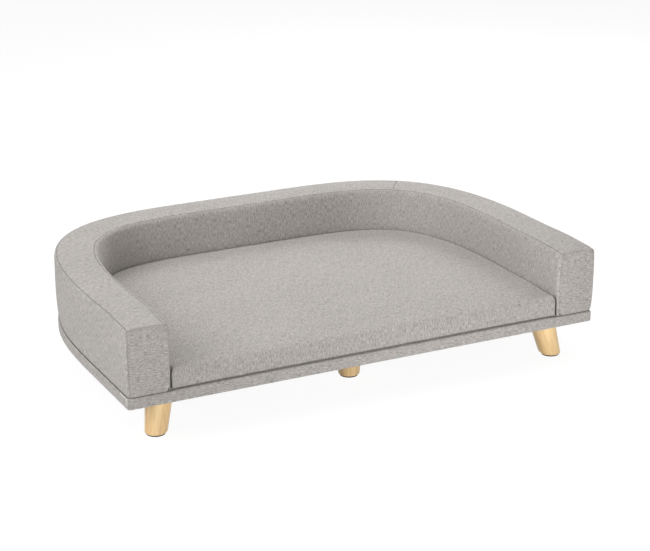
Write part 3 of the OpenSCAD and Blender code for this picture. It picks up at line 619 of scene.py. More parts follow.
def turned_wood():
    """Pale lacquered wood with its grain along the leg."""
    look = sizes("finish")
    m = Recipe("turned_wood")
    grain = m.weave()
    broad = m.noise(m.scaled(grain, (75.0, 75.0, 6.0)), detail=2.0)
    flow = m.noise(m.scaled(grain, (260.0, 260.0, 9.0)), detail=3.0, roughness=0.55)
    pores = m.noise(m.scaled(grain, (900.0, 900.0, 45.0)), detail=2.0)
    lengthwise = m.scaled(grain, (1.0, 1.0, 0.06))
    inputs = {"Vector": lengthwise, "Scale": 28.0, "Distortion": 3.0, "Detail": 2.0}
    rings = m.add("TexWave", inputs, wave_type="BANDS")
    tone = m.summed(
        0.7, (broad, 0.5, 1.5), (flow, 0.5, 1.8), (pores, 0.5, 0.7), (rings, 0.5, 0.25)
    )
    m.set(
        Base_Color=m.blend(tone, look.leg_dark, look.leg_light), Roughness=0.42,
        Coat_Weight=0.25, Coat_Roughness=0.25,
        Normal=m.bump(m.summed(0.0, (pores, 0.5, 0.00008), (flow, 0.5, 0.0001))),
    )
    return m.owner


def plywood():
    """Plywood: face grain, and plies with dark glue lines at the edges."""
    look = sizes("finish").plywood
    m = Recipe("plywood_plies")
    place = m.place()
    grain = m.noise(m.scaled(place, (4.0, 260.0, 8.0)), detail=4.0, roughness=0.6)
    ply = m.calc("PINGPONG", m.split(place)[2], 0.0016)
    glue = m.calc("LESS_THAN", ply, 0.00012)
    tone = m.summed(0.65, (grain, 0.5, 1.1), (glue, 0.0, -0.6), (ply, 0.0008, 220.0))
    return m.finished(
        tone, look, (0.25, 0.13, 0.05), 0.55, Roughness=0.75,
        Normal=m.bump(m.calc("MULTIPLY", grain, 0.0002)),
    )


def hardboard():
    """Brown hardboard of pressed fibres."""
    look = sizes("finish").hardboard
    m = Recipe("hardboard_fibres")
    fibres = m.noise(m.scaled(m.place(), (500.0, 500.0, 500.0)), detail=4.0, roughness=0.7)
    cloud = m.noise(m.place(), 18.0, 3.0)
    tone = m.summed(0.5, (fibres, 0.5, 1.4), (cloud, 0.5, 0.7))
    return m.finished(
        tone, look, (0.05, 0.03, 0.02), 0.5, Roughness=0.6,
        Normal=m.bump(m.calc("MULTIPLY", fibres, 0.00015)),
    )


def zinc_steel():
    """Zinc-plated steel with its spangle and fine scratches."""
    look = sizes("finish").steel
    m = Recipe("zinc_steel")
    place = m.place()
    spangle = m.add("TexVoronoi", {"Vector": place, "Scale": 260.0}, out=1)
    scratch = m.noise(m.scaled(place, (40.0, 1800.0, 40.0)), detail=2.0)
    tone = m.summed(0.5, (m.add("RGBToBW", {0: spangle}), 0.5, 0.35), (scratch, 0.5, 0.5))
    rough = m.summed(0.34, (scratch, 0.5, 0.25))
    return m.finished(
        tone, look, (0.3, 0.31, 0.33), 0.5, Metallic=1.0,
        Roughness=rough, Normal=m.bump(m.calc("MULTIPLY", scratch, 0.00002)),
    )


def fibre_mat(name, rgb, dark, scale, relief):
    """Felt or non-woven cloth: fibres lying all ways."""
    m = Recipe(name)
    place = m.place()
    one = m.noise(m.scaled(place, (scale, scale * 0.15, scale)), detail=3.0)
    two = m.noise(m.scaled(place, (scale * 0.15, scale, scale)), detail=3.0)
    tone = m.summed(0.5, (one, 0.5, 1.3), (two, 0.5, 1.3))
    m.set(
        Base_Color=m.blend(tone, dark, rgb), Roughness=0.95, Specular_IOR_Level=0.15,
        Sheen_Weight=0.1, Normal=m.bump(m.summed(0.0, (one, 0.5, relief), (two, 0.5, relief))),
    )
    return m.owner


def zip_tape():
    """Ribbed tape of the zip."""
    look = sizes("finish").tape
    m = Recipe("zip_tape_rib")
    along, across, _ = m.split(m.place())
    leg = m.calc("PINGPONG", across, 0.0016)
    rib = m.calc("SINE", m.calc("MULTIPLY", m.calc("ADD", along, leg), 5200.0))
    grain = m.noise(m.place(), 1500.0, 2.0)
    tone = m.summed(0.5, (rib, 0.0, 0.35), (grain, 0.5, 0.6))
    return m.finished(
        tone, look, (0, 0, 0), 0.4, Roughness=0.85,
        Normal=m.bump(m.calc("MULTIPLY", rib, 0.00008)),
    )


def moulded_coil():
    """Plastic coil of the zip, slightly worn."""
    look = sizes("finish").teeth
    m = Recipe("moulded_coil")
    wear = m.noise(m.place(), 700.0, 3.0)
    tone = m.summed(0.6, (wear, 0.5, 0.9))
    return m.finished(
        tone, look, (0, 0, 0), 0.35,
        Roughness=m.summed(0.42, (wear, 0.5, 0.2)),
        Normal=m.bump(m.calc("MULTIPLY", wear, 0.00002)),
    )


def sewing_thread():
    """Pale twisted thread."""
    look = sizes("finish").thread
    m = Recipe("sewing_thread")
    twist = m.noise(m.scaled(m.place(), (2500.0, 2500.0, 900.0)), detail=2.0)
    tone = m.summed(0.6, (twist, 0.5, 1.2))
    return m.finished(
        tone, look, (0.4, 0.4, 0.4), 0.4, Roughness=0.7,
        Normal=m.bump(m.calc("MULTIPLY", twist, 0.0001)),
    )


MATERIALS = {
    "fabric": woven_cloth,
    "foam": foam_cells,
    "leg_wood": turned_wood,
    "plywood": plywood,
    "hardboard": hardboard,
    "steel": zinc_steel,
    "dust_cloth": lambda: fibre_mat(
        "dust_cloth_fibres", sizes("finish").lining, (0.008, 0.008, 0.009), 900.0, 0.00008
    ),
    "felt": lambda: fibre_mat(
        "felt_fibres", sizes("finish").felt, (0.02, 0.016, 0.013), 1400.0, 0.0003
    ),
    "zip_tape": zip_tape,
    "zip_teeth": moulded_coil,
    "thread": sewing_thread,
}
made_materials = {}


def material(name):
    if name not in made_materials:
        made_materials[name] = MATERIALS[name]()
    return made_materials[name]


def dress_node(name, finish):
    """A better material for a CAD node that stays."""
    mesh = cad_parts[name].data
    mesh.materials.clear()
    mesh.materials.append(material(finish))


# ---- Plain solids that pieces are made from ----


def circle_points(centre, r, count=24):
    a = np.linspace(0, 2 * np.pi, count, endpoint=False)
    return [(centre[0] + r * math.cos(t), centre[1] + r * math.sin(t)) for t in a]


def add_box(work, low, high, turn=None):
    """A box between two corners, turned about its own middle."""
    low, high = Vector(low), Vector(high)
    where = Matrix.Translation((low + high) / 2) @ (turn or Matrix())
    bmesh.ops.create_cube(work, size=1.0, matrix=where @ Matrix.Diagonal((*(high - low), 1)))


def lathe(work, centre, profile, count=32):
    """A turned solid: (radius, height) pairs from one end to the other."""
    rings = []
    for r, z in profile:
        spots = circle_points(centre, r, count) if r > TINY else [centre]
        rings.append([work.verts.new((x, y, z)) for x, y in spots])
    for a, b in zip(rings, rings[1:]):
        for k in range(count):
            n = (k + 1) % count
            corners = [a[k % len(a)], a[n % len(a)], b[n % len(b)], b[k % len(b)]]
            unique = list(dict.fromkeys(corners))
            if len(unique) > 2:
                work.faces.new(unique)


def holed_plate(name, outline, holes, low, high):
    """A flat plate with holes, between two heights."""
    work = bmesh.new()
    for loop in [outline, *holes]:
        corners = [work.verts.new((x, y, low)) for x, y in loop]
        for k, a in enumerate(corners):
            work.edges.new((a, corners[(k + 1) % len(corners)]))
    bmesh.ops.triangle_fill(work, use_beauty=True, edges=work.edges[:])
    made = bmesh.ops.extrude_face_region(work, geom=work.faces[:])
    for part in made["geom"]:
        if isinstance(part, bmesh.types.BMVert):
            part.co.z = high
    return bmesh_mesh(work, name, False)


def bmesh_mesh(work, name, smooth=True):
    bmesh.ops.recalc_face_normals(work, faces=work.faces)
    mesh = bpy.data.meshes.new(name)
    work.to_mesh(mesh)
    work.free()
    mesh.polygons.foreach_set("use_smooth", [smooth] * len(mesh.polygons))
    return mesh


def bmesh_piece(work, name, body, slot, stands_for=(), smooth=True, finish=None):
    return piece(name, bmesh_mesh(work, name, smooth), body, slot, stands_for, finish)


def bevelled(work, offset, segments=2):
    bmesh.ops.bevel(work, geom=work.edges[:], offset=offset, segments=segments, affect="EDGES")


def boolean_cut(made, cutter_mesh):
    """Cuts one solid out of a piece's mesh."""
    cutter = bpy.data.objects.new("cutter", cutter_mesh)
    bpy.context.scene.collection.objects.link(cutter)
    cut = made.modifiers.new("cut", "BOOLEAN")
    cut.operation = "DIFFERENCE"
    cut.solver = "EXACT"
    cut.object = cutter
    graph = bpy.context.evaluated_depsgraph_get()
    shaped = bpy.data.meshes.new_from_object(made.evaluated_get(graph))
    made.modifiers.clear()
    made.data = shaped
    bpy.data.objects.remove(cutter)


# ---- The D-shaped outline of base and cushion ----


class DShape:
    """A closed D: a front that may be drawn in, two round front corners and the rear."""

    def __init__(self, inset, front_y, corner_r, draw=0.0, step=0.005, spare=0.002):
        self.inset, self.front_y, self.corner_r = inset, front_y, corner_r
        self.draw, self.spare = draw, spare
        corner, normals, _ = rear_corner()
        self.rear = Line(corner, normals)
        self.rear_where = np.linspace(0, self.rear.total, round(self.rear.total / step))
        self.front_count = round(sizes("plan").width / 2 / step)
        self.arc_count = 24
        self.side_count = 24

    def ring(self, depth):
        """Points and outward normals at a depth in from the edge."""
        plan = sizes("plan")
        half = plan.width / 2 - self.inset
        corner_r = max(self.corner_r, depth + self.spare)
        centre_x = half - corner_r
        x = np.linspace(0, centre_x, self.front_count, endpoint=False)
        front_y = self.front_y + depth + self.draw * (1 - (x / centre_x) ** 4)
        front = np.stack([x, front_y], 1)
        front_out = np.tile([0.0, -1.0], (len(x), 1))
        turn = np.linspace(-np.pi / 2, 0, self.arc_count)
        arc_out = np.stack([np.cos(turn), np.sin(turn)], 1)
        arc = np.array([centre_x, self.front_y + corner_r]) + (corner_r - depth) * arc_out
        base, rear_out = self.rear.at(self.rear_where)
        rear = base - rear_out * (self.inset + depth)
        side_y = np.linspace(arc[-1, 1], rear[0, 1], self.side_count + 2)[1:-1]
        side = np.stack([np.full(len(side_y), rear[0, 0]), side_y], 1)
        side_out = np.tile([1.0, 0.0], (len(side_y), 1))
        right = np.vstack([front, arc, side, rear])
        out = np.vstack([front_out, arc_out, side_out, rear_out])
        whole = np.vstack([right, mirrored(right)[:-1]])
        return whole, np.vstack([out, mirrored(out)[:-1]])


def edge_profile(pairs):
    """A rounded edge in depth and height, from (centre, radius, start, end) arcs in degrees
    and plain points."""
    points = []
    for pair in pairs:
        if len(pair) == 2:
            points.append(pair)
            continue
        (cx, cz), r, start, end = pair
        for a in np.radians(np.linspace(start, end, 14)):
            points.append((cx - r * math.cos(a), cz + r * math.sin(a)))
    points = np.array(points)
    keep = np.concatenate([[True], np.linalg.norm(np.diff(points, axis=0), axis=1) > 1e-6])
    return Line(points[keep], side=-1)


# ---- Base ----


def pressed(depth):
    """How far the base's top is pressed down at a depth in from its edge."""
    base = sizes("base")
    return base.sink * (1 - eased(depth, base.sink_from, base.sink_to))


def front_rise(points, height):
    """How much less the base's front border is pressed between the arms."""
    base = sizes("base")
    arm_inside, arm_edge = 400 * MM, 418 * MM
    between = 1 - eased(abs(points[:, 0]), arm_inside, arm_edge)
    front = 1 - eased(points[:, 1] - BASE_LOW.y, base.sink_from, base.sink_to)
    top = BASE_HIGH.z - BASE_LOW.z
    return base.front_rise * between * front * eased(height, top - 14 * MM, top - 6 * MM)


class DOGSOFA_OT_base_cover(Operator):
    """The cloth pulled over the base, hemmed under it and folded at its front corners"""

    bl_idname = "dog_sofa.base_cover"
    bl_label = "Base cover"

    def execute(self, context):
        base, cloth = sizes("base"), sizes("cloth")
        low, high = BASE_LOW.z, BASE_HIGH.z
        tall = high - low
        shape = DShape(0.0, BASE_LOW.y, sizes("plan").front_corner_r)
        border = np.linspace(base.sink_to, base.top_r, 16)[:-1]
        profile = edge_profile(
            [
                *zip(border, tall - pressed(border)),
                ((base.top_r, tall - base.sink - base.top_r), base.top_r, 90, 0),
                ((base.bottom_r, base.bottom_r), base.bottom_r, 0, -90),
                (base.hem_w, 0.0),
            ]
        )
        round_edge = 42 * MM
        fine = np.linspace(0, round_edge, 52)[:-1]
        where = np.concatenate([fine, np.linspace(round_edge, profile.total, 6)])
        crease = self.folds(shape, where)
        flat, out = shape.ring(base.sink_to)
        outer, inner, lay = [], [], []
        for part in (0.95, 0.8, 0.6, 0.4, 0.2, 0.08, 0.02):
            points = flat * (1 - part)
            outer.append(level(points, high))
            inner.append(level(points, high - cloth.thickness))
            lay.append(level(points, 0.0))
        for k, length in enumerate(where):
            (spot,), (slope,) = profile.at([length])
            ring, out = shape.ring(spot[0])
            push = crease[k][:, None] * out * slope[0]
            height = low + spot[1] + front_rise(ring, spot[1])
            outer.append(level(ring + push, height - crease[k] * slope[1]))
            ring, _ = shape.ring(spot[0] - slope[0] * cloth.thickness)
            inner.append(level(ring, height - slope[1] * cloth.thickness))
            # Painted shade: darker in the corner pleats' folds and on the border that the bolster
            # stands on.
            dark = crease[k] / base.fold_depth
            if spot[0] > base.shade_from and spot[1] > tall / 2:
                behind = eased(flat[:, 1] - BASE_LOW.y, 12 * MM, 20 * MM)
                under = eased(spot[0], base.shade_from, base.shade_to)
                dark = np.maximum(dark, base.shade * behind * under)
            lay.append(level(flat + out * length, dark))
        outer, inner, lay = np.array(outer[::-1]), np.array(inner[::-1]), np.array(lay[::-1])
        shape = closed_bowl(outer, inner, [0, 0, high], [0, 0, high - cloth.thickness])
        weave = cloth_lay(lay[..., 1], lay[..., 0], lay[..., 2], ((0, 0, 0), (0, 0, 0)))
        node, name = "base_cover", "base_upholstery"
        made = shaped_piece(name, shape, "sofa", "fabric", [node], weave=weave)
        return {"FINISHED"}

    def folds(self, shape, where):
        """Depth of the two corner pleats, at each length down the edge and each place
        round it."""
        base = sizes("base")
        ring, _ = shape.ring(0.0)
        walk = np.concatenate([[0], np.cumsum(np.linalg.norm(np.diff(ring, axis=0), axis=1))])
        corner = np.array([sizes("plan").width / 2, BASE_LOW.y])
        depths = []
        for length in where:
            total = np.zeros(len(ring))
            for side in (1, -1):
                centre = walk[int(np.argmin(np.linalg.norm(ring - corner * [side, 1], axis=1)))]
                lean = 0.05 * length
                near = np.clip(1 - abs(walk - centre + side * lean) / base.fold_w, 0, 1)
                start = np.clip((length - 11 * MM) / (5 * MM), 0, 1)
                end = np.clip((44 * MM - length) / (12 * MM), 0, 1)
                total += base.fold_depth * near * start * end
            depths.append(total)
        return depths


class DOGSOFA_OT_base_padding(Operator):
    """The foam on the base board and round its edge"""

    bl_idname = "dog_sofa.base_padding"
    bl_label = "Base padding"

    def execute(self, context):
        base = sizes("base")
        low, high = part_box("base_pad")
        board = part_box("base_board")[1].x
        inset = BASE_HIGH.x - high.x
        shape = DShape(0.0, BASE_LOW.y, sizes("plan").front_corner_r, step=0.012)
        edge, border = 1.2 * MM, 20 * MM
        rings = []
        for depth, z in (
            (inset + border, low.z), (inset + edge, low.z), (inset, low.z + edge),
            (inset, high.z - edge - base.sink), (inset + edge, high.z - pressed(inset)),
            (inset + 2.5 * MM, high.z - pressed(inset + 2.5 * MM)), (base.sink_to, high.z),
            (inset + border, high.z),
        ):
            rings.append(level(shape.ring(depth)[0], z))
        pad = closed_body(np.array(rings), [0, 0, low.z], [0, 0, high.z])
        made = shaped_piece("base_foam_pad", pad, "sofa", "foam", ["base_pad"])
        low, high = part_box("base_edge_foam")
        outside = BASE_HIGH.x - high.x
        inside = BASE_HIGH.x - board - 0.3 * MM
        section = [
            (outside + edge, low.z), (outside, low.z + edge), (outside, high.z - edge),
            (outside + edge, high.z), (inside, high.z), (inside, low.z),
        ]
        rings = [level(shape.ring(depth)[0], z) for depth, z in section]
        strip = closed_ring(np.array(rings).transpose(1, 0, 2))
        made = shaped_piece("base_edge_strip", strip, "sofa", "foam", ["base_edge_foam"])
        return {"FINISHED"}


# ---- Bolster ----


def bolster_front_y():
    return BASE_LOW.y + sizes("bolster").front_lip


def bolster_seam_y():
    bolster = sizes("bolster")
    return bolster_front_y() + bolster.panel_crown


def arm_middle_x():
    plan = sizes("plan")
    return plan.width / 2 - plan.lip - sizes("bolster").thickness / 2


def bolster_z():
    return BASE_HIGH.z + sizes("bolster").lift


def roll_height():
    bolster = sizes("bolster")
    return bolster.height - bolster.crown - bolster.edge_r


def leant(points):
    """A profile with its outer face bulged out over the base's edge, and its inner face
    sloping back under the inner seam."""
    bolster = sizes("bolster")
    depth, height = points[:, 0], points[:, 1]
    rise = 1 - np.exp(-height / bolster.tuck)
    away = np.clip(1 - depth / bolster.thickness, 0, 1.2) ** 1.5
    near = np.clip(depth / bolster.thickness, 0, 1.1) ** 2
    slope = np.clip(1 - (bolster.height - height) / bolster.shoulder_h, 0, 1) ** 2
    moved = depth - bolster.bulge * rise * away - bolster.shoulder * near * slope
    return np.stack([moved, height], 1)


def roll_points(start, end, count):
    """Points of a top edge's roll between two turns, from the face (0) to the top."""
    r = sizes("bolster").edge_r
    a = np.linspace(start, end, count)
    return np.stack([r - r * np.cos(a), roll_height() + r * np.sin(a)], 1)


def half_gap_turn():
    return sizes("seam").gap / 2 / sizes("bolster").edge_r


LEFT_ROLL = ([0.85, 1.05, 1.25, 1.9, 2.1], [5.2, 3.4, 2.0, 2.4, 1.8])
RIGHT_ROLL = ([0.85, 1.1, 1.9, 2.15], [2.0, 5.0, 3.0, 5.2])


def front_roll(depth, height, left):
    """Radius of the roll over an arm's front, at each place of the bolster's profile.
    The tables give places, up the outer face (0 to 1), over the top (to 2) and down the
    inner face (to 3), and the radius at each in millimetres."""
    bolster = sizes("bolster")
    face = height / roll_height()
    across = np.clip(depth / bolster.thickness, 0, 1)
    place = np.where(face > 1, 1 + across, np.where(across < 0.5, face, 3 - face))
    r = np.interp(place, *(LEFT_ROLL if left else RIGHT_ROLL)) * MM
    foot = np.clip(1 - np.maximum(height, 0) / (7 * MM), 0, 1)
    return r + bolster.foot_r * foot**2


def widened(depth, walk, total):
    """Depths on the bolster with the arms' extra stuffing pushed to the inside. The
    limits are metres along the line, from each arm's front."""
    bolster = sizes("bolster")
    from_left = total - walk
    front = bolster.left_front + (1 - bolster.left_front) * eased(from_left, 0, 0.1)
    left = bolster.widen_left * (1 - eased(from_left, 0.45, 0.8)) * front
    right = bolster.widen_right * (1 - eased(walk, 0.1, 0.5))
    return depth * (1 + (left + right) / bolster.thickness)


FOOT_GAP = 0.15 * MM
THINNEST = 0.3 * MM
ARM_GAP_SHADE, CUSHION_GAP_SHADE = 1.3, 1.2
INNER_BAND, TOP_STRIP = 0, 1


def outer_foot():
    """Height of the outer band's lower edge, on the base's pressed border."""
    return FOOT_GAP - sizes("base").sink


def band_points(foot=0.0, turn=None):
    """A face in depth and height, from the base up and over to its seam."""
    bolster = sizes("bolster")
    turn = bolster.seam_turn if turn is None else turn
    top = roll_height()
    h = np.linspace(foot, top, 80)
    face = np.stack([-bolster.swell * np.sin(np.pi * np.clip(h / top, 0, 1)), h], 1)
    roll = roll_points(0, turn - half_gap_turn(), 16)
    return np.vstack([face, roll[1:]])


def strip_points(inner_turn):
    """The padded top in depth and height, from the outer seam to the inner one."""
    bolster = sizes("bolster")
    roll = roll_points(bolster.seam_turn + half_gap_turn(), math.pi / 2, 8)
    inner_roll = roll_points(inner_turn + half_gap_turn(), math.pi / 2, 9)
    u = np.linspace(0, 1, 50)[1:]
    half = bolster.thickness / 2
    shoulder = bolster.height - bolster.crown
    rise = shoulder + bolster.crown * (1 - (1 - u) ** 2) * u**0.3
    top = np.stack([bolster.edge_r + (half - bolster.edge_r) * u, rise], 1)
    left = np.vstack([roll, top])
    right = np.vstack([inner_roll, top[1:]])
    return np.vstack([left, turned_over(right)[1:]])


def turned_over(points):
    """The same profile on the bolster's inner side, run the other way."""
    return points[::-1] * [-1, 1] + [sizes("bolster").thickness, 0]


def inner_band_points(foot=0.0):
    return band_points(foot, sizes("bolster").inner_seam_turn)


def outer_curve():
    return Line(leant(band_points(outer_foot())))


def inner_curve():
    return Line(leant(turned_over(inner_band_points())[::-1]), side=-1)


def top_curve():
    return Line(leant(strip_points(sizes("bolster").seam_turn)))


def seam_climb(places):
    """Lengths by which the inner band and the top strip are cut short at the inner
    seam: it lies higher on the left arm than on the back and the right arm."""
    bolster = sizes("bolster")
    arm_x, back_x = -400 * MM, -220 * MM
    climb = bolster.edge_r * (bolster.inner_seam_turn - bolster.seam_turn)
    lowered = climb * eased(places[:, 0], arm_x, back_x)
    return lowered, climb - lowered


def edge_roll(kind):
    """Width, depth and shade of the roll at a kind of edge."""
    seam = sizes("seam")
    return {
        "sewn": (seam.width, seam.depth, 1.0),
        "join": (seam.width, seam.join_depth, 1.9),
        "front": (seam.front_w, seam.front_depth, 0.12),
        "turned under": (seam.hem_w, seam.hem_depth, 1.3),
    }[kind]


def pillowed(points):
    """The arms' stuffing: a slight hump behind each arm's front, and a drop to it."""
    bolster = sizes("bolster")
    back = np.maximum(points[..., 1] - bolster_front_y(), 0)
    up = np.clip((points[..., 2] - bolster_z()) / bolster.height, 0, 1) ** 2
    hump = bolster.hump * np.exp(-(((back - bolster.hump_back) / bolster.hump_w) ** 2))
    drop = bolster.front_drop * np.exp(-back / bolster.drop_w)
    drop = drop * np.where(points[..., 0] < 0, bolster.left_drop, 1.0)
    return points + (up * (hump - drop))[..., None] * [0, 0, 1]


def sewn_push(distances, edges):
    """How deep a panel dips beside its sewn and turned edges, and its painted crease shade."""
    push = np.zeros_like(distances[0])
    crease = np.zeros_like(push)
    for distance, edge in zip(distances, edges):
        width, depth, shade = edge_roll(edge)
        dip = roll_in(distance, width, depth)
        push = np.maximum(push, dip)
        crease = np.maximum(crease, shade * dip / depth)
    return push, crease


def puckered(distance, run, phase):
    """Puckers beside a seam: fine waves along it that fade away from it."""
    start, fade = 1.2 * MM, 9 * MM
    reach = (1 - np.exp(-distance / start)) * np.exp(-distance / fade)
    slow = 0.55 + 0.45 * waves(run, (0.19, 0.31), phase)
    return reach * slow * waves(run, (0.0135, 0.0192, 0.0261, 0.041), phase * 1.3)


def settled(points):
    """How far the inner face's foot follows the base's pressed front border down."""
    near = 1 - eased(points[..., 2] - bolster_z(), 0, 25 * MM)
    return near * np.maximum(pressed(points[..., 1] - BASE_LOW.y) - FOOT_GAP, 0)


def bolster_panel(name, line, curve, walk, steps, edges, tone, phase, node, cut_part=None):
    """One panel of the bolster: a curve swept along the bolster's line. The edges are
    the curve's start and end and the line's start and end. The tone picks a place on the
    cloth, and cut_part the inner band's or the top strip's cut at the inner seam."""
    cloth, seam, roll_l = sizes("cloth"), sizes("seam"), sizes("bolster").roll_l
    place, out = line.at(np.clip(walk, 0, line.total))
    cut = 0 * walk if cut_part is None else seam_climb(place)[cut_part]
    end = (steps[-1] - cut)[:, None]
    over = steps[None, :] * end / steps[-1]
    spot, slope = (rows.reshape(*over.shape, 2) for rows in curve.at(over.ravel()))
    run = walk[:, None] + 0 * steps[None, :]
    depth = widened(spot[..., 0], run, line.total)
    flat = place[:, None, :] - out[:, None, :] * depth[..., None]
    base = np.concatenate([flat, bolster_z() + spot[..., 1:]], -1)
    normal = np.concatenate([-out[:, None, :] * slope[..., :1], slope[..., 1:]], -1)
    forward, roll_fade = np.array([0, -1.0, 0]), 20 * MM
    ends = []
    for left, past, inside in ((False, -run, run), (True, run - line.total, line.total - run)):
        r = front_roll(spot[..., 0], spot[..., 1], left)
        part = np.clip(past / roll_l, 0, 1)
        turn = (part * math.pi / 2)[..., None]
        near = np.clip(1 - inside / roll_fade, 0, 1)
        back = (r * (1 - np.sin(turn[..., 0])) * np.where(past > 0, 1, near))[..., None]
        base = base - normal * r[..., None] * (1 - np.cos(turn)) - forward * back
        normal = normal * np.cos(turn) + forward * np.sin(turn)
        ends.append(np.maximum(inside, 0) + r * math.pi / 2 * (1 - part))
    shade = 0.0
    if cut_part == INNER_BAND:
        base = base - settled(base)[..., None] * [0, 0, 1]
        shade = ARM_GAP_SHADE * gap_shade(base)
    far = [over, end - over, run - walk[0], walk[-1] - run]
    for k, edge in ((2, 0), (3, 1)):
        if edges[k] == "front":
            far[k] = ends[edge]
    push, crease = sewn_push(far, edges)
    alongs, shifts = (run, run, over, over), (1.0, 2.2, 3.1, 4.7)
    for distance, edge, along, shift in zip(far, edges, alongs, shifts):
        if edge in ("sewn", "join"):
            push += seam.pucker * puckered(distance, along, phase + shift)
    middle = np.sin(np.pi * np.clip(over / end, 0, 1))
    push += seam.undulation * waves(run, (0.11, 0.173, 0.26), phase) * middle
    outer = base - normal * push[..., None]
    inner = base - normal * np.maximum(cloth.thickness, push + THINNEST)[..., None]
    shape = closed_sheet(pillowed(outer), pillowed(inner))
    # The lay's third channel is painted shade: in the seams' creases, and on the inner band in the
    # gap beside the cushion.
    lay = cloth_lay(run + tone, over, np.maximum(crease, shade))
    made = shaped_piece(name, shape, "sofa", "fabric", [node], weave=lay)


class DOGSOFA_OT_bolster_cover(Operator):
    """The bolster's outer and inner bands, and its top strip sewn from two lengths"""

    bl_idname = "dog_sofa.bolster_cover"
    bl_label = "Bolster cover"

    def execute(self, context):
        arc, gap, step = sizes("bolster").roll_l, sizes("seam").gap, 3.6 * MM
        line, join = bolster_line(bolster_seam_y())
        outer, inner, top = outer_curve(), inner_curve(), top_curve()
        rolled = np.arange(0.3 * MM, arc, 0.6 * MM)
        start, end = rolled - arc, line.total + arc - rolled
        around = np.union1d(spaced(line.total + 2 * arc, step) - arc, np.concatenate([start, end]))
        short = np.union1d(spaced(join - gap / 2 + arc, step) - arc, start)
        after = join + gap / 2
        long = np.union1d(after + spaced(line.total + arc - after, step), end)
        down, up = spaced(outer.total, 5 * MM), spaced(inner.total, 5 * MM)
        over = spaced(top.total, 4 * MM)
        band = ("turned under", "sewn", "front", "front")
        first, second = ("sewn", "sewn", "front", "join"), ("sewn", "sewn", "join", "front")
        name, node = "bolster_outer_cloth", "bolster_outer_band"
        bolster_panel(name, line, outer, around, down, band, 0.0, 0.4, node)
        name, node = "bolster_inner_cloth", "bolster_inner_band"
        bolster_panel(name, line, inner, around, up, band, 5.3, 1.9, node, INNER_BAND)
        name, node = "bolster_top_cloth_right", "bolster_top_strip_right"
        bolster_panel(name, line, top, short, over, first, 9.1, 2.7, node, TOP_STRIP)
        name, node = "bolster_top_cloth", "bolster_top_strip"
        bolster_panel(name, line, top, long, over, second, 13.7, 3.8, node, TOP_STRIP)
        return {"FINISHED"}


def arm_outline(side):
    """Outline of an arm's front panel in depth and height, closed by a level bottom edge."""
    bolster = sizes("bolster")
    low, corner = outer_foot(), 1.5 * MM
    face, inner = band_points(low), inner_band_points(low)
    strip = strip_points(bolster.inner_seam_turn)
    flat = np.vstack([face, strip[1:-1], turned_over(inner)])
    whole = Line(leant(flat))
    r = front_roll(flat[:, 0], flat[:, 1], side < 0)
    inset = whole.points - whole.normals * (r + sizes("seam").front_gap)[:, None]
    total = bolster_line(bolster_seam_y())[0].total
    inset[:, 0] = widened(inset[:, 0], 0 if side > 0 else total, total)
    inset = inset[inset[:, 1] > low + corner]
    a = np.linspace(0, math.pi / 2, 7)
    across, up = corner * (1 - np.cos(a)), low + corner * (1 - np.sin(a))
    left = np.stack([inset[0, 0] + across, up], 1)[::-1]
    right = np.stack([inset[-1, 0] - across, up], 1)
    return Line(np.vstack([left, inset, right, left[:1]]))


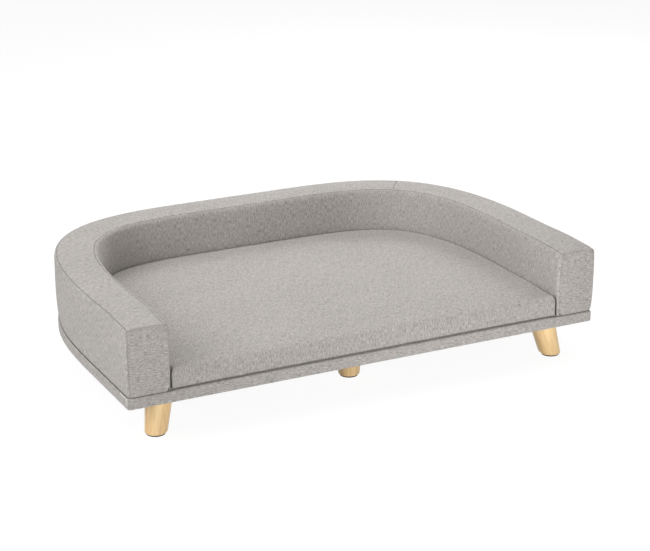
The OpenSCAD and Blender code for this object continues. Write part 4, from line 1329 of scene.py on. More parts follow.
class DOGSOFA_OT_arm_fronts(Operator):
    """The two panels sewn into the arms' fronts, with the ripples of the stretched cloth"""

    bl_idname = "dog_sofa.arm_fronts"
    bl_label = "Arm fronts"

    def execute(self, context):
        for side, name in ((-1, "left"), (1, "right")):
            self.panel(side, name)
        return {"FINISHED"}

    def panel(self, side, name):
        """One front panel: rings over its sewn edge, then in to its middle."""
        bolster = sizes("bolster")
        outline = arm_outline(side)
        where = np.linspace(0, outline.total, 520, endpoint=False)
        spot, out = outline.at(where)
        r = bolster.panel_r + (bolster.foot_r - bolster.panel_r) * np.clip(-out[:, 1], 0, 1) ** 2
        centre = np.array([bolster.thickness / 2, bolster.height * 0.42])
        front = bolster_seam_y()
        outer, inner, lay = [], [], []
        for turn in np.radians([0, 10, 22, 35, 48, 60, 70, 80, 90]):
            side_on, front_on = math.cos(turn), math.sin(turn)
            flat = spot - out * (r * (1 - side_on))[:, None]
            y = front + r * (1 - front_on)
            normal = np.stack([-out[:, 0] * side_on, 0 * where - front_on, out[:, 1] * side_on], 1)
            self.ring(outer, inner, lay, flat, y, normal, r * turn, where, side)
        last = spot - out * r[:, None]
        for part in np.concatenate([np.linspace(0.015, 0.9, 44), [0.96]]):
            flat = last * (1 - part) + centre * part
            y = front - bolster.panel_crown * (1 - math.cos(math.pi * part)) / 2
            normal = np.tile([0.0, -1.0, 0.0], (len(where), 1))
            self.ring(outer, inner, lay, flat, y, normal, np.ones(len(where)), where, side)
        outer, inner, lay = np.array(outer), np.array(inner), np.array(lay)
        points, faces = closed_bowl(outer, inner, outer[-1].mean(0), inner[-1].mean(0))
        points[:, 0] = side * (arm_middle_x() + points[:, 0])
        tone = 17.0 + side
        tip = (centre[1] + tone, centre[0], 0)
        rows = cloth_lay(lay[..., 1] + tone, lay[..., 0], lay[..., 2], (tip, tip))
        node, name = "arm_end_panel_" + name, "arm_front_cloth_" + name
        made = shaped_piece(name, (pillowed(points), faces), "sofa", "fabric", [node], weave=rows)

    def ring(self, outer, inner, lay, flat, y, normal, length, where, side):
        """One more ring of the panel: its outside, its inside and its lay."""
        bolster, cloth, seam = sizes("bolster"), sizes("cloth"), sizes("seam")
        local = np.column_stack(
            [bolster.thickness / 2 - flat[:, 0], y + 0 * where, bolster_z() + flat[:, 1]]
        )
        width, depth, shade = edge_roll("front")
        dip = roll_in(length, width, depth)
        push = dip + 0.2 * seam.pucker * puckered(length, where, 2.0 + side)
        push = push + self.ripples(flat, side) * np.minimum(1.0, length / (6 * MM))
        outer.append(local - normal * push[:, None])
        inner.append(local - normal * np.maximum(cloth.thickness, push + THINNEST)[:, None])
        # Painted shade in the crease along the panel's sewn edge.
        lay.append(level(flat, shade * dip / depth))

    def ripples(self, flat, side):
        """Short level ripples, strongest over part of the right arm's panel."""
        bolster, seam = sizes("bolster"), sizes("seam")
        middle, amount = (0.66, 1.0) if side > 0 else (0.45, 0.2)
        x, z = flat[:, 0] / bolster.thickness, flat[:, 1]
        bend = z + 2.2 * MM * np.sin(x * 7.1) + 1.6 * MM * np.sin(z / (17 * MM) + x * 5)
        fine = waves(bend, (0.0049, 0.0067, 0.0103), 1.0 + side)
        broken = 0.5 + 0.5 * waves(flat[:, 0] + 0.3 * z, (0.021, 0.034), 3.0 * side)
        held = np.clip(1.25 - abs(x - middle) / 0.34, 0, 1)
        top = np.clip((bolster.height - 6 * MM - z) / (20 * MM), 0, 1)
        return seam.ripple * amount * fine * broken * held * np.clip(z / (12 * MM), 0, 1) * top


class DOGSOFA_OT_bolster_padding(Operator):
    """The foam round the bolster's frame and on the arms' fronts"""

    bl_idname = "dog_sofa.bolster_padding"
    bl_label = "Bolster padding"

    def execute(self, context):
        bolster, cloth = sizes("bolster"), sizes("cloth")
        behind_panel, behind_cloth, fit, foam_t = 6 * MM, 0.45 * MM, 0.25 * MM, 12 * MM
        line, _ = bolster_line(bolster_seam_y() + behind_panel)
        band, strip = band_points(), strip_points(bolster.inner_seam_turn)
        inner = inner_band_points()
        whole = np.vstack([band[2::5], strip[1:-1:5], turned_over(inner[2::5])])
        skin = Line(leant(whole))
        wrap = skin.points - skin.normals * (cloth.thickness + behind_cloth)
        wrap[[0, -1], 1] = 0.0
        cavity_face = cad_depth("outer_skin_board") - fit
        cavity_h = bolster.height - bolster.crown - cloth.thickness - foam_t - fit
        wide = bolster.thickness - 2 * cavity_face
        run = np.linspace(0, 2 * cavity_h + wide, len(wrap))
        rise, cross = run < cavity_h, run < cavity_h + wide
        depth = np.where(rise, 0, np.where(cross, run - cavity_h, wide)) + cavity_face
        height = np.where(rise, run, np.where(cross, cavity_h, 2 * cavity_h + wide - run))
        cavity = np.stack([depth, height], 1)
        run = np.linspace(0, line.total, 220)
        place, out = line.at(run)

        def swept(curve, wide=False):
            """The curve along the whole line, with or without the arms' widening."""
            depth = curve[None, :, 0] + 0 * run[:, None]
            if wide:
                depth = widened(depth, run[:, None], line.total)
            flat = place[:, None, :] - out[:, None, :] * depth[..., None]
            high = np.broadcast_to(bolster_z() + curve[:, 1], flat.shape[:2])[..., None]
            return np.concatenate([flat, high], -1)

        foam = closed_sheet(pillowed(swept(wrap, True)), swept(cavity))
        made = shaped_piece("bolster_foam_wrap", foam, "sofa", "foam", ["bolster_foam"])
        self.front_pads()
        return {"FINISHED"}

    def front_pads(self):
        low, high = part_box("arm_end_pads")
        work = bmesh.new()
        half = high.x - arm_middle_x()
        for x in (-arm_middle_x(), arm_middle_x()):
            add_box(work, (x - half, low.y, low.z), (x + half, high.y, high.z))
        bevelled(work, 1.5 * MM, 3)
        made = bmesh_piece(work, "arm_front_foam", "sofa", "foam", ["arm_end_pads"], False)


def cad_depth(node):
    """Depth of a frame piece's outer face in from the bolster's outer line."""
    return sizes("plan").width / 2 - sizes("plan").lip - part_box(node)[1].x


# ---- Cushion ----


def cushion_shape(step=0.005):
    plan, bolster, cushion = sizes("plan"), sizes("bolster"), sizes("cushion")
    inset = plan.lip + bolster.thickness + cushion.gap
    return DShape(inset, BASE_LOW.y + cushion.setback, cushion.corner_r, cushion.draw, step)


def front_share(ring):
    """How much of the front's big top radius each place round the edge has."""
    half = ring[:, 0].max()
    middle = 1 - 0.45 * eased(abs(ring[:, 0]), half - 70 * MM, half)
    return middle * (1 - eased(ring[:, 1] - ring[:, 1].min(), 20 * MM, 90 * MM))


def cushion_side(shape, inset, top_r, bottom, crown_parts, fine):
    """Rings of the cushion's surface with one top radius, the cloth's length down from
    the top's edge, the outward directions and that edge."""
    cushion = sizes("cushion")
    z0 = UNDERSIDE_LOW.z
    r, a, b = cushion.bottom_r, quarter(10), quarter(16)
    low = np.stack([r - (r - inset) * np.sin(a), r - (r - inset) * np.cos(a)], 1)
    up = cushion.height - top_r + (top_r - inset) * np.sin(b)
    high = np.stack([top_r - (top_r - inset) * np.cos(b), up], 1)
    profile = Line(np.array([*bottom, *low, *high]))
    rings, drops, outs = [], [], []
    for length in np.linspace(0, profile.total, fine):
        (spot,), _ = profile.at([length])
        ring, out = shape.ring(spot[0])
        rings.append(level(ring, z0 + spot[1]))
        drops.append(np.full(len(ring), profile.total - length))
        outs.append(out)
    edge, out = shape.ring(top_r)
    middle = np.array([0.0, cushion_middle_y()])
    for part in crown_parts:
        flat = edge * (1 - part) + middle * part
        z = z0 + cushion.height - inset + cushion.crown * (1 - (1 - part) ** 2)
        rings.append(level(flat, z))
        drops.append(np.zeros(len(flat)))
        outs.append(out)
    return np.array(rings), np.array(drops), np.array(outs), edge


def quarter(count):
    return np.radians(np.linspace(0, 90, count))


def cushion_rings(shape, inset, bottom, crown_parts, fine):
    """Rings of the cushion's surface, at an inset under its cover's face: from the
    bottom edge up over the side to the crown, whose tip comes last. The front's big
    radius and the sides' small one are mixed."""
    cushion = sizes("cushion")
    front = cushion_side(shape, inset, cushion.top_r, bottom, crown_parts, fine)
    side = cushion_side(shape, inset, cushion.side_r, bottom, crown_parts, fine)
    part = front_share(side[3])
    drops = side[1] + (front[1] - side[1]) * part
    edge = side[3] + (front[3] - side[3]) * part[:, None]
    rings = side[0] + (front[0] - side[0]) * part[None, :, None]
    top = UNDERSIDE_LOW.z + cushion.height + cushion.crown - inset
    tip = np.array([[0.0, cushion_middle_y(), top]])
    return nudged(rings), drops, side[2], edge, nudged(tip)[0]


def nudged(points):
    """The cushion's sides, pushed in by the arms' extra stuffing. The limits are metres
    in plan."""
    bolster, cushion = sizes("bolster"), sizes("cushion")
    x, y = points[..., 0], points[..., 1]
    along = 1 - eased(y, 0.10, 0.25)
    front_part = eased(y - BASE_LOW.y, 0.01, 0.11)
    front = bolster.left_front + (1 - bolster.left_front) * front_part
    left = cushion.give_left * bolster.widen_left * eased(-x, 0.15, 0.40) * along * front
    right = cushion.give_right * bolster.widen_right * eased(x, 0.15, 0.40) * along
    return points + (left - right)[..., None] * [1, 0, 0]


def gap_shade(points):
    """The shade in the narrow gaps between the arms' fronts and the cushion's corners,
    below the cushion's top and just behind its front."""
    back = points[..., 1] - BASE_LOW.y
    low = 1 - eased(points[..., 2] - UNDERSIDE_LOW.z, 34 * MM, 43 * MM)
    return eased(back, 3.5 * MM, 6 * MM) * (1 - eased(back, 12 * MM, 20 * MM)) * low


def corners_drawn_in(points):
    """The two lower front corners, drawn in from the arms."""
    cushion = sizes("cushion")
    low = 1 - np.clip((points[..., 2] - UNDERSIDE_LOW.z) / cushion.height, 0, 1)
    front = 1 - eased(points[..., 1] - BASE_LOW.y, 6 * MM, 35 * MM)
    side = np.sign(points[..., 0]) * eased(abs(points[..., 0]), 0.36, 0.41)
    return points - (cushion.corner_in * low * front * side)[..., None] * [1, 0, 0]


def cushion_middle_y():
    plan, bolster, cushion = sizes("plan"), sizes("bolster"), sizes("cushion")
    front = BASE_LOW.y + cushion.setback
    back = plan.depth / 2 - (plan.lip + bolster.thickness + cushion.gap)
    return (front + back) / 2


def stuffed_moves():
    """Where a pressed cloth skin goes: its start points and how far each one moves."""
    cushion = sizes("cushion")
    shape, last_frame = cushion_shape(0.016), 20
    rings, _, _, _, tip = cushion_rings(shape, cushion.slack, [], np.linspace(0.06, 0.94, 12), 10)
    bottom = [0.0, cushion_middle_y(), UNDERSIDE_LOW.z + cushion.slack]
    mesh = finished_mesh("stuffing", *closed_body(rings, bottom, tip))
    skin = bpy.data.objects.new("stuffing", mesh)
    bpy.context.scene.collection.objects.link(skin)
    remesh = skin.modifiers.new("even", "REMESH")
    remesh.mode = "VOXEL"
    remesh.voxel_size = cushion.voxel
    graph = bpy.context.evaluated_depsgraph_get()
    even = bpy.data.meshes.new_from_object(skin.evaluated_get(graph))
    skin.modifiers.clear()
    skin.data = even
    start = np.array([v.co for v in even.vertices])
    held = skin.vertex_groups.new(name="held")
    low = bottom[2] + 0.5 * cushion.voxel
    held.add([k for k, p in enumerate(start) if p[2] < low], 1.0, "REPLACE")
    cloth = skin.modifiers.new("cloth", "CLOTH")
    setup = cloth.settings
    setup.quality = 5
    setup.mass = 0.3
    setup.tension_stiffness = 20
    setup.compression_stiffness = 20
    setup.shear_stiffness = 10
    setup.bending_stiffness = 1.5
    setup.use_pressure = True
    setup.uniform_pressure_force = cushion.pressure
    setup.vertex_group_mass = "held"
    setup.effector_weights.gravity = 0
    cloth.collision_settings.use_collision = False
    cloth.point_cache.frame_start = 1
    cloth.point_cache.frame_end = last_frame
    for number in range(1, last_frame + 1):
        bpy.context.scene.frame_set(number)
    graph = bpy.context.evaluated_depsgraph_get()
    done = skin.evaluated_get(graph).to_mesh()
    end = np.array([v.co for v in done.vertices])
    bpy.context.scene.frame_set(1)
    bpy.data.objects.remove(skin)
    moves = end - start
    far = np.linalg.norm(moves, axis=1, keepdims=True)
    return start, moves * np.minimum(1, cushion.swell_limit / np.maximum(far, TINY))


def laid_on(points, start, moves):
    """The moves of the nearest start points, averaged at each point."""
    tree = KDTree(len(start))
    for k, p in enumerate(start):
        tree.insert(p, k)
    tree.balance()
    result = np.zeros_like(points)
    for k, p in enumerate(points):
        near = tree.find_n(p, 6)
        weights = np.array([1 / (distance + 2 * MM) for _, _, distance in near])
        result[k] = (moves[[n for _, n, _ in near]] * weights[:, None]).sum(0) / weights.sum()
    return result


class DOGSOFA_OT_cushion(Operator):
    """The cushion's cover, pressed out by its stuffing, its underside and its foam"""

    bl_idname = "dog_sofa.cushion"
    bl_label = "Cushion"

    def execute(self, context):
        cushion, cloth = sizes("cushion"), sizes("cloth")
        shape = cushion_shape()
        hem = [(cushion.hem_w, 0.0), (cushion.hem_w - 3 * MM, 0.0)]
        parts = np.concatenate([np.linspace(0.02, 0.9, 30), [0.96]])
        outer, drops, outs, edge, tip = cushion_rings(shape, 0.0, hem, parts, 34)
        low = UNDERSIDE_LOW.z
        tips = np.array([tip])
        start, moves = stuffed_moves()
        flat = np.vstack([outer.reshape(-1, 3), tips])
        inward = np.vstack([self.inward(outer, outs).reshape(-1, 3), [[0, 0, -1.0]]])
        slack = flat + inward * cushion.slack
        moved = slack + laid_on(slack, start, moves)
        moved[:, 2] = np.maximum(moved[:, 2], low)
        moved = self.kept_in(moved, flat)
        outer, tips = moved[:-1].reshape(outer.shape), moved[-1:]
        under = outer[:, :, 2] < low + 0.2 * MM
        outer[under, 2] = low
        outer = corners_drawn_in(self.set_down(outer))
        inner = outer + self.inward(outer, outs) * cloth.thickness
        cover = closed_bowl(outer, inner, tips[0], tips[0] - [0, 0, cloth.thickness])
        flat = edge[None] + outs * drops[..., None]
        flat = np.where(drops[..., None] > 0, flat, outer[..., :2])
        tone = 21.0
        tip = (tone, cushion_middle_y(), 0)
        # Painted shade on the cushion's left side, in the gap by the left arm, just behind its
        # front.
        left_gap_painted_shade = CUSHION_GAP_SHADE * gap_shade(outer) * eased(-outs[..., 0], 0.5, 0.9)
        lay = cloth_lay(flat[..., 0] + tone, flat[..., 1], left_gap_painted_shade, (tip, tip))
        node, name = "cushion_cover", "cushion_top_cover"
        made = shaped_piece(name, cover, "cushion", "fabric", [node], weave=lay)
        self.underside(shape)
        self.foam()
        return {"FINISHED"}

    def inward(self, rings, outs):
        """Unit normals into the cushion, worked out from the rings."""
        along = np.roll(rings, -1, axis=1) - np.roll(rings, 1, axis=1)
        up = np.gradient(rings, axis=0)
        normal = np.cross(up, along)
        normal = normal / np.maximum(np.linalg.norm(normal, axis=-1, keepdims=True), 1e-12)
        on_side = 20
        return -normal * np.sign((normal[on_side, :, :2] * outs[on_side]).sum(-1).mean())

    def set_down(self, rings):
        """The front's lower edge, set down on the base's pressed border."""
        cushion, base = sizes("cushion"), sizes("base")
        near = 1 - eased(rings[..., 2] - UNDERSIDE_LOW.z, 0, 0.6 * cushion.height)
        press = pressed(rings[..., 1] - BASE_LOW.y) * (1 - base.front_rise / base.sink)
        drop = np.maximum(press - cushion.hover, 0) * near
        return rings - drop[..., None] * [0, 0, 1]

    def kept_in(self, moved, flat):
        """No point further than the limit from the sewn shape."""
        change = moved - flat
        far = np.linalg.norm(change, axis=1, keepdims=True)
        return flat + change * np.minimum(1, sizes("cushion").stretch / np.maximum(far, TINY))

    def underside(self, shape):
        """The flat panel under the cushion, with the slit for the zip."""
        cushion, low = sizes("cushion"), UNDERSIDE_LOW.z
        ring, _ = shape.ring(cushion.hem_w + 0.3 * MM)
        ring = nudged(ring @ np.eye(2, 3))[:, :2]
        corner = 2 * MM
        reach_x, reach_y = TEETH_HIGH.x + 5 * MM - corner, 6 * MM - corner
        slit = [
            (
                math.copysign(reach_x, math.cos(t) or 1) + corner * math.cos(t),
                ZIP_Y + math.copysign(reach_y, math.sin(t) or 1) + corner * math.sin(t),
            )
            for t in np.linspace(0, 2 * np.pi, 24, endpoint=False)
        ]
        high = low + sizes("cloth").thickness
        mesh = holed_plate("cushion_under_panel", ring, [slit], low, high)
        lay = mesh.attributes.new("weave", "FLOAT_VECTOR", "POINT")
        rows = np.array([(v.co.x + 31.0, v.co.y, 0) for v in mesh.vertices], np.float32)
        lay.data.foreach_set("vector", rows.ravel())
        made = piece("cushion_under_panel", mesh, "cushion", "fabric", ["cushion_underside"])

    def foam(self):
        """The foam core, rounded off at its front corners and grooved for the zip."""
        cushion, inset = sizes("cushion"), sizes("cloth").thickness + 0.25 * MM
        parts = np.linspace(0.06, 0.94, 10)
        rings, _, _, _, tip = cushion_rings(cushion_shape(0.012), inset, [], parts, 12)
        front = 1 - eased(rings[..., 1] - BASE_LOW.y, 6 * MM, 70 * MM)
        corner = np.sign(rings[..., 0]) * eased(abs(rings[..., 0]), 0.33, 0.40) * front
        rings[..., 0] -= cushion.core_in * corner
        rings[..., 1] += 0.5 * cushion.core_in * abs(corner)
        bottom = [0.0, cushion_middle_y(), UNDERSIDE_LOW.z + inset]
        core = closed_body(rings, bottom, tip)
        made = shaped_piece("cushion_foam_core", core, "cushion", "foam", ["cushion_foam"])
        work = bmesh.new()
        add_box(
            work, (TAPE_LOW.x - MM, TAPE_LOW.y - MM, UNDERSIDE_LOW.z - MM),
            (TAPE_HIGH.x + MM, TAPE_HIGH.y + MM, SLIDER_HIGH.z + MM),
        )
        boolean_cut(made, bmesh_mesh(work, "groove"))


# ---- Under the base ----


def plate_centre(name):
    low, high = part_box(name)
    return ((low + high) / 2).xy


def leg_foot(name):
    """Middle of a leg's foot on the floor, and the sides to which the leg leans out."""
    sign = (0, 0)
    if name != "leg_middle":
        sign = (1 if "right" in name else -1, -1 if "front" in name else 1)
    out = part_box(name)[1].z * LEG_LEAN
    plate = plate_centre(name.replace("leg_", "leg_plate_"))
    return Vector((plate.x + sign[0] * out, plate.y + sign[1] * out)), sign


def in_mm(*pairs):
    return [(a * MM, b * MM) for a, b in pairs]


def raised(profile, z):
    return [(r, z + h) for r, h in profile]


def screw_places():
    """Places of the four screws in each leg plate."""
    low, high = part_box(PLATES[0])
    half = (high.x - low.x) / 2 - 7 * MM
    return [
        plate_centre(name) + Vector((x * half, y * half))
        for name in PLATES
        for x in (-1, 1)
        for y in (-1, 1)
    ]


def bolt_places():
    """Places of the bolts that hold the bolster, read from the washers."""
    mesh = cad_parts["bolster_washers"].data
    points = np.array([v.co for v in mesh.vertices])[:, :2]
    places = []
    for p in points:
        for group in places:
            if np.linalg.norm(group[0] - p) < 20 * MM:
                group.append(p)
                break
        else:
            places.append([p])
    return [Vector((np.max(group, 0) + np.min(group, 0)) / 2) for group in places]


class DOGSOFA_OT_dust_cloth(Operator):
    """The black dust cloth under the base, with its folded edge and staples"""

    bl_idname = "dog_sofa.dust_cloth"
    bl_label = "Dust cloth"

    def execute(self, context):
        base = sizes("base")
        shape = DShape(0.0, BASE_LOW.y, base.cloth_inset + sizes("plan").front_corner_r, step=0.01)
        ring, _ = shape.ring(base.cloth_inset)
        holes = [circle_points(plate_centre(name), 6.4 * MM) for name in PLATES]
        holes += [circle_points(place, 2.1 * MM, 12) for place in screw_places()]
        holes += [circle_points(place, 3.4 * MM, 16) for place in bolt_places()]
        low, high = LINING_LOW.z + 0.35 * MM, LINING_HIGH.z
        mesh = holed_plate("dust_cloth_sheet", ring, holes, low, high)
        made = piece("dust_cloth_sheet", mesh, "sofa", "dust_cloth", ["base_dust_cloth"])
        rings = [
            level(shape.ring(base.cloth_inset + depth)[0], low - down)
            for depth, down in in_mm((0, 0.02), (0.5, 0.32), (11.5, 0.32), (12, 0.02))
        ]
        fold = closed_ring(np.array(rings).transpose(1, 0, 2))
        shaped_piece("dust_cloth_folded_edge", fold, "sofa", "dust_cloth")
        self.staples(shape, low - 0.59 * MM)
        return {"FINISHED"}

    def staples(self, shape, z):
        """Staples along the folded edge, except where a leg plate lies."""
        base, plate_reach = sizes("base"), 37 * MM
        centres = [np.array(plate_centre(name)) for name in PLATES]
        points, out = shape.ring(base.cloth_inset + 6 * MM)
        line = Line(np.vstack([points, points[:1]]), np.vstack([out, out[:1]]))
        places, outs = line.at(np.arange(0, line.total - base.staple_step / 2, base.staple_step))
        work = bmesh.new()
        for place, out in zip(places, outs):
            if min(np.abs(place - centre).max() for centre in centres) < plate_reach:
                continue
            middle = Vector((*place, z))
            half = Vector((5 * MM, 0.55 * MM, 0.275 * MM))
            turn = Matrix(((-out[1], out[0], 0), (*out, 0), (0, 0, 1))).transposed().to_4x4()
            add_box(work, middle - half, middle + half, turn)
        bevelled(work, 0.15 * MM)
        bmesh_piece(work, "dust_cloth_staples", "sofa", "steel")


class DOGSOFA_OT_legs(Operator):
    """The five turned legs with their bevelled feet"""

    bl_idname = "dog_sofa.legs"
    bl_label = "Legs"

    def execute(self, context):
        for name in LEGS:
            self.leg(name)
        return {"FINISHED"}

    def leg(self, name):
        """A leg that tapers to its bevelled foot, and is rounded off at the plate."""
        foot_r, top_r, bevel, slope, soft = 21 * MM, 26 * MM, 2.5 * MM, 1.3, 0.4 * MM
        foot_z, top_edge, count = 2.5 * MM, 0.5 * MM, 96
        foot, sign = leg_foot(name)
        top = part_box(name)[1].z
        tilt = Vector((-sign[0] * LEG_LEAN, -sign[1] * LEG_LEAN, 1.0))
        axis = tilt.normalized()
        taper = (top_r - foot_r) / (top * tilt.length)
        side = axis.orthogonal().normalized()
        other = axis.cross(side)
        bevelled_part = foot_z + np.array([0, 0.3, 0.8, 1.3, 1.8, 2.2, 2.6, 3.0, 3.6, 4.5]) * MM
        middle_part = np.linspace(foot_z + 7 * MM, top - 1.2 * MM, 20)
        end = [top - top_edge, top - 0.15 * MM, top]
        rings, weave = [], []
        for z in np.concatenate([bevelled_part, middle_part, end]):
            ring = []
            for k in range(count):
                turn = 2 * math.pi * k / count
                way = side * math.cos(turn) + other * math.sin(turn)
                h = (z - way.z * foot_r) / (axis.z + way.z * taper)
                r = foot_r + taper * h
                flat = (axis * h + way * r).xy
                allowed = foot_r - bevel + slope * (z - foot_z)
                over = flat.length - allowed
                trim = (over + math.hypot(over, soft)) / 2 if allowed < foot_r * 1.4 else 0
                trim += soft * max(0.0, (z - (top - top_edge)) / top_edge) ** 2
                flat = foot + flat * (1 - trim / flat.length)
                ring.append((flat.x, flat.y, z))
                across = (math.cos(turn) * r, math.sin(turn) * r)
                weave.append((across[0] + foot.x * 3, across[1] + foot.y * 3, h))
            rings.append(ring)
        rings = np.array(rings)
        shape = closed_body(rings, rings[0].mean(0), rings[-1].mean(0))
        weave += [(foot.x * 3, foot.y * 3, h) for h in (0.0, top)]
        shaped_piece(name + "_turned", shape, "sofa", "leg_wood", [name], weave=weave)


class DOGSOFA_OT_glides(Operator):
    """The felt glides under the feet, each on its nail"""

    bl_idname = "dog_sofa.glides"
    bl_label = "Felt glides"

    def execute(self, context):
        recess = in_mm((0, 0.8), (3.2, 0.8), (3.4, 0.3), (3.9, 0))
        disc = in_mm((17.3, 0), (17.85, 0.3), (18, 0.8), (18, 1.75), (17.5, 2.25))
        nail = in_mm((1.4, 2.25), (1.4, 13), (0, 14))
        work = bmesh.new()
        for name in LEGS:
            lathe(work, leg_foot(name)[0], recess + disc + nail, 64)
        bmesh_piece(work, "felt_glide_discs", "sofa", "felt", ["foot_glides"])
        return {"FINISHED"}


class DOGSOFA_OT_fittings(Operator):
    """Leg plates, screws and the bolts that hold the bolster"""

    bl_idname = "dog_sofa.fittings"
    bl_label = "Fittings"

    def execute(self, context):
        for name in [*PLATES, "leg_bolts", "bolster_washers", "bolster_tee_nuts"]:
            dress_node(name, "steel")
        self.screws()
        self.bolts()
        return {"FINISHED"}

    def screws(self):
        """Countersunk screws with a thread and a cross recess."""
        low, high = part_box("leg_plate_screws")
        length, head, turns = high.z - low.z, 2.2 * MM, 9
        profile = in_mm((0, 0), (1.9, 0.05), (2.8, 0.25), (3.5, 0.9), (3.8, 1.6), (3.8, 2.2))
        profile += in_mm((2, 2.2))
        for k in range(turns):
            h = head + 0.6 * MM + k * (length - head - 2.5 * MM) / turns
            profile += raised(in_mm((1.5, 0), (2.0, 0.35), (1.5, 0.7)), h)
        profile += [(1.4 * MM, length - 2 * MM), (0, length)]
        work = bmesh.new()
        for place in screw_places():
            lathe(work, place, raised(profile, low.z), 24)
        made = bmesh_piece(work, "plate_screws_turned", "sofa", "steel", ["leg_plate_screws"])
        self.cross_recesses(made, low.z)

    def cross_recesses(self, made, z):
        corner = in_mm((0.42, 0.42), (0.42, 1.9), (-0.42, 1.9))
        cutter = bmesh.new()
        for k, place in enumerate(screw_places()):
            outline = []
            for arm in range(4):
                a = arm * math.pi / 2 + 0.7 * k
                c, s = math.cos(a), math.sin(a)
                outline += [(x * c - y * s, x * s + y * c) for x, y in corner]
            self.prism(cutter, place, outline, z - 0.2 * MM, z + 1.1 * MM)
        boolean_cut(made, bmesh_mesh(cutter, "recesses", False))

    def prism(self, work, place, outline, low, high):
        """A straight solid on an outline round a place, between two heights."""
        flat = [(place.x + x, place.y + y) for x, y in outline]
        bottom, top = ([work.verts.new((x, y, h)) for x, y in flat] for h in (low, high))
        work.faces.new(bottom)
        work.faces.new(top[::-1])
        for k in range(len(outline)):
            n = (k + 1) % len(outline)
            work.faces.new((bottom[k], bottom[n], top[n], top[k]))

    def bolts(self):
        """Round-headed bolts with a socket in the head."""
        low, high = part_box("bolster_bolts")
        length = (high.z - low.z) / MM
        socket = in_mm((0, 2.4), (2.3, 2.4), (2.35, 0.4), (2.6, 0))
        head = in_mm((5.2, 0), (5.8, 0.35), (6, 0.9), (6, 4))
        shank = in_mm((3, 4), (3, length - 0.5), (2.5, length), (0, length))
        work = bmesh.new()
        for place in bolt_places():
            lathe(work, place, raised(socket + head + shank, low.z), 36)
        bmesh_piece(work, "bolster_bolts_turned", "sofa", "steel", ["bolster_bolts"])


class DOGSOFA_OT_boards(Operator):
    """Finishes of the base board and of the bolster's frame"""

    bl_idname = "dog_sofa.boards"
    bl_label = "Boards and rails"

    def execute(self, context):
        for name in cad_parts:
            if "skin_board" in name:
                dress_node(name, "hardboard")
            elif "board" in name or "rail" in name or name == "bolster_uprights":
                dress_node(name, "plywood")
        return {"FINISHED"}


# ---- Zip ----


class DOGSOFA_OT_zip(Operator):
    """The zip in the cushion's underside: tapes, coil, stops and slider"""

    bl_idname = "dog_sofa.zip"
    bl_label = "Zip"

    def execute(self, context):
        self.tapes()
        self.coil()
        dress_node("zip_end_stops", "steel")
        self.slider()
        return {"FINISHED"}

    def tapes(self):
        inner = (TEETH_HIGH.y - TEETH_LOW.y) / 2 + 0.1 * MM
        outer = TAPE_HIGH.y - ZIP_Y
        work = bmesh.new()
        for near, far in ((-outer, -inner), (inner, outer)):
            low = (TAPE_LOW.x, near + ZIP_Y, TAPE_LOW.z)
            add_box(work, low, (TAPE_HIGH.x, far + ZIP_Y, TAPE_HIGH.z))
        bevelled(work, 0.2 * MM)
        made = bmesh_piece(work, "zip_tape_pair", "cushion", "zip_tape", ["zip_tapes"])

    def coil(self):
        """Two rows of coil loops that reach between each other's."""
        pitch, wire = 1.27 * MM, 0.42 * MM
        near, far = 0.55 * MM, (TEETH_HIGH.y - TEETH_LOW.y) / 2
        z0, z1 = TEETH_LOW.z, TEETH_HIGH.z
        section = [
            (far, z0 + 0.25 * MM), (far, z1 - 0.25 * MM), (far - 0.3 * MM, z1),
            (near + 0.3 * MM, z1), (near, z1 - 0.35 * MM), (near, z0 + 0.35 * MM),
            (near + 0.3 * MM, z0), (far - 0.3 * MM, z0),
        ]
        n = len(section)
        points, faces = [], []
        for side, shift in ((-1, 0.6), (1, 0.9)):
            for k in range(int((TEETH_HIGH.x - TEETH_LOW.x) / pitch) - 1):
                x = TEETH_LOW.x + pitch * (k + shift)
                first = len(points)
                for end in (x - wire, x + wire):
                    points += [(end, ZIP_Y + side * y, z) for y, z in section]
                faces.append(tuple(first + i for i in range(n)))
                faces.append(tuple(first + n + i for i in range(n - 1, -1, -1)))
                for i in range(n):
                    j = (i + 1) % n
                    faces.append((first + i, first + n + i, first + n + j, first + j))
        coil = (points, faces)
        shaped_piece("zip_coil_rows", coil, "cushion", "zip_teeth", ["zip_teeth"], smooth=False)

    def slider(self):
        """Two plates, wider at the end where the rows part, on a post."""
        low, high = SLIDER_LOW, SLIDER_HIGH
        long, half, plate = high.x - low.x, (high.y - low.y) / 2, 0.8 * MM
        one_side = [(0, 0.5), (0.1, 0.62), (0.34, 0.64), (0.62, 0.96), (0.72, 1), (0.94, 1)]
        one_side.append((1, 0.9))
        outline = [(a, -b) for a, b in one_side] + one_side[::-1]
        work = bmesh.new()
        for bottom in (low.z, high.z - plate):
            corners = [(low.x + a * long, ZIP_Y + b * half, bottom) for a, b in outline]
            face = work.faces.new([work.verts.new(corner) for corner in corners])
            made = bmesh.ops.extrude_face_region(work, geom=[face])
            for part in made["geom"]:
                if isinstance(part, bmesh.types.BMVert):
                    part.co.z += plate
        centre = Vector((low.x + long / 2, ZIP_Y, (low.z + high.z) / 2))
        post = Vector((long / 4, 0.35 * MM, (high.z - low.z - plate) / 2))
        add_box(work, centre - post, centre + post)
        bevelled(work, 0.12 * MM)
        name, node = "zip_slider_plates", "zip_slider"
        bmesh_piece(work, name, "slider", "steel", [node], smooth=False)


# ---- Hand stitches at the base's corner ----


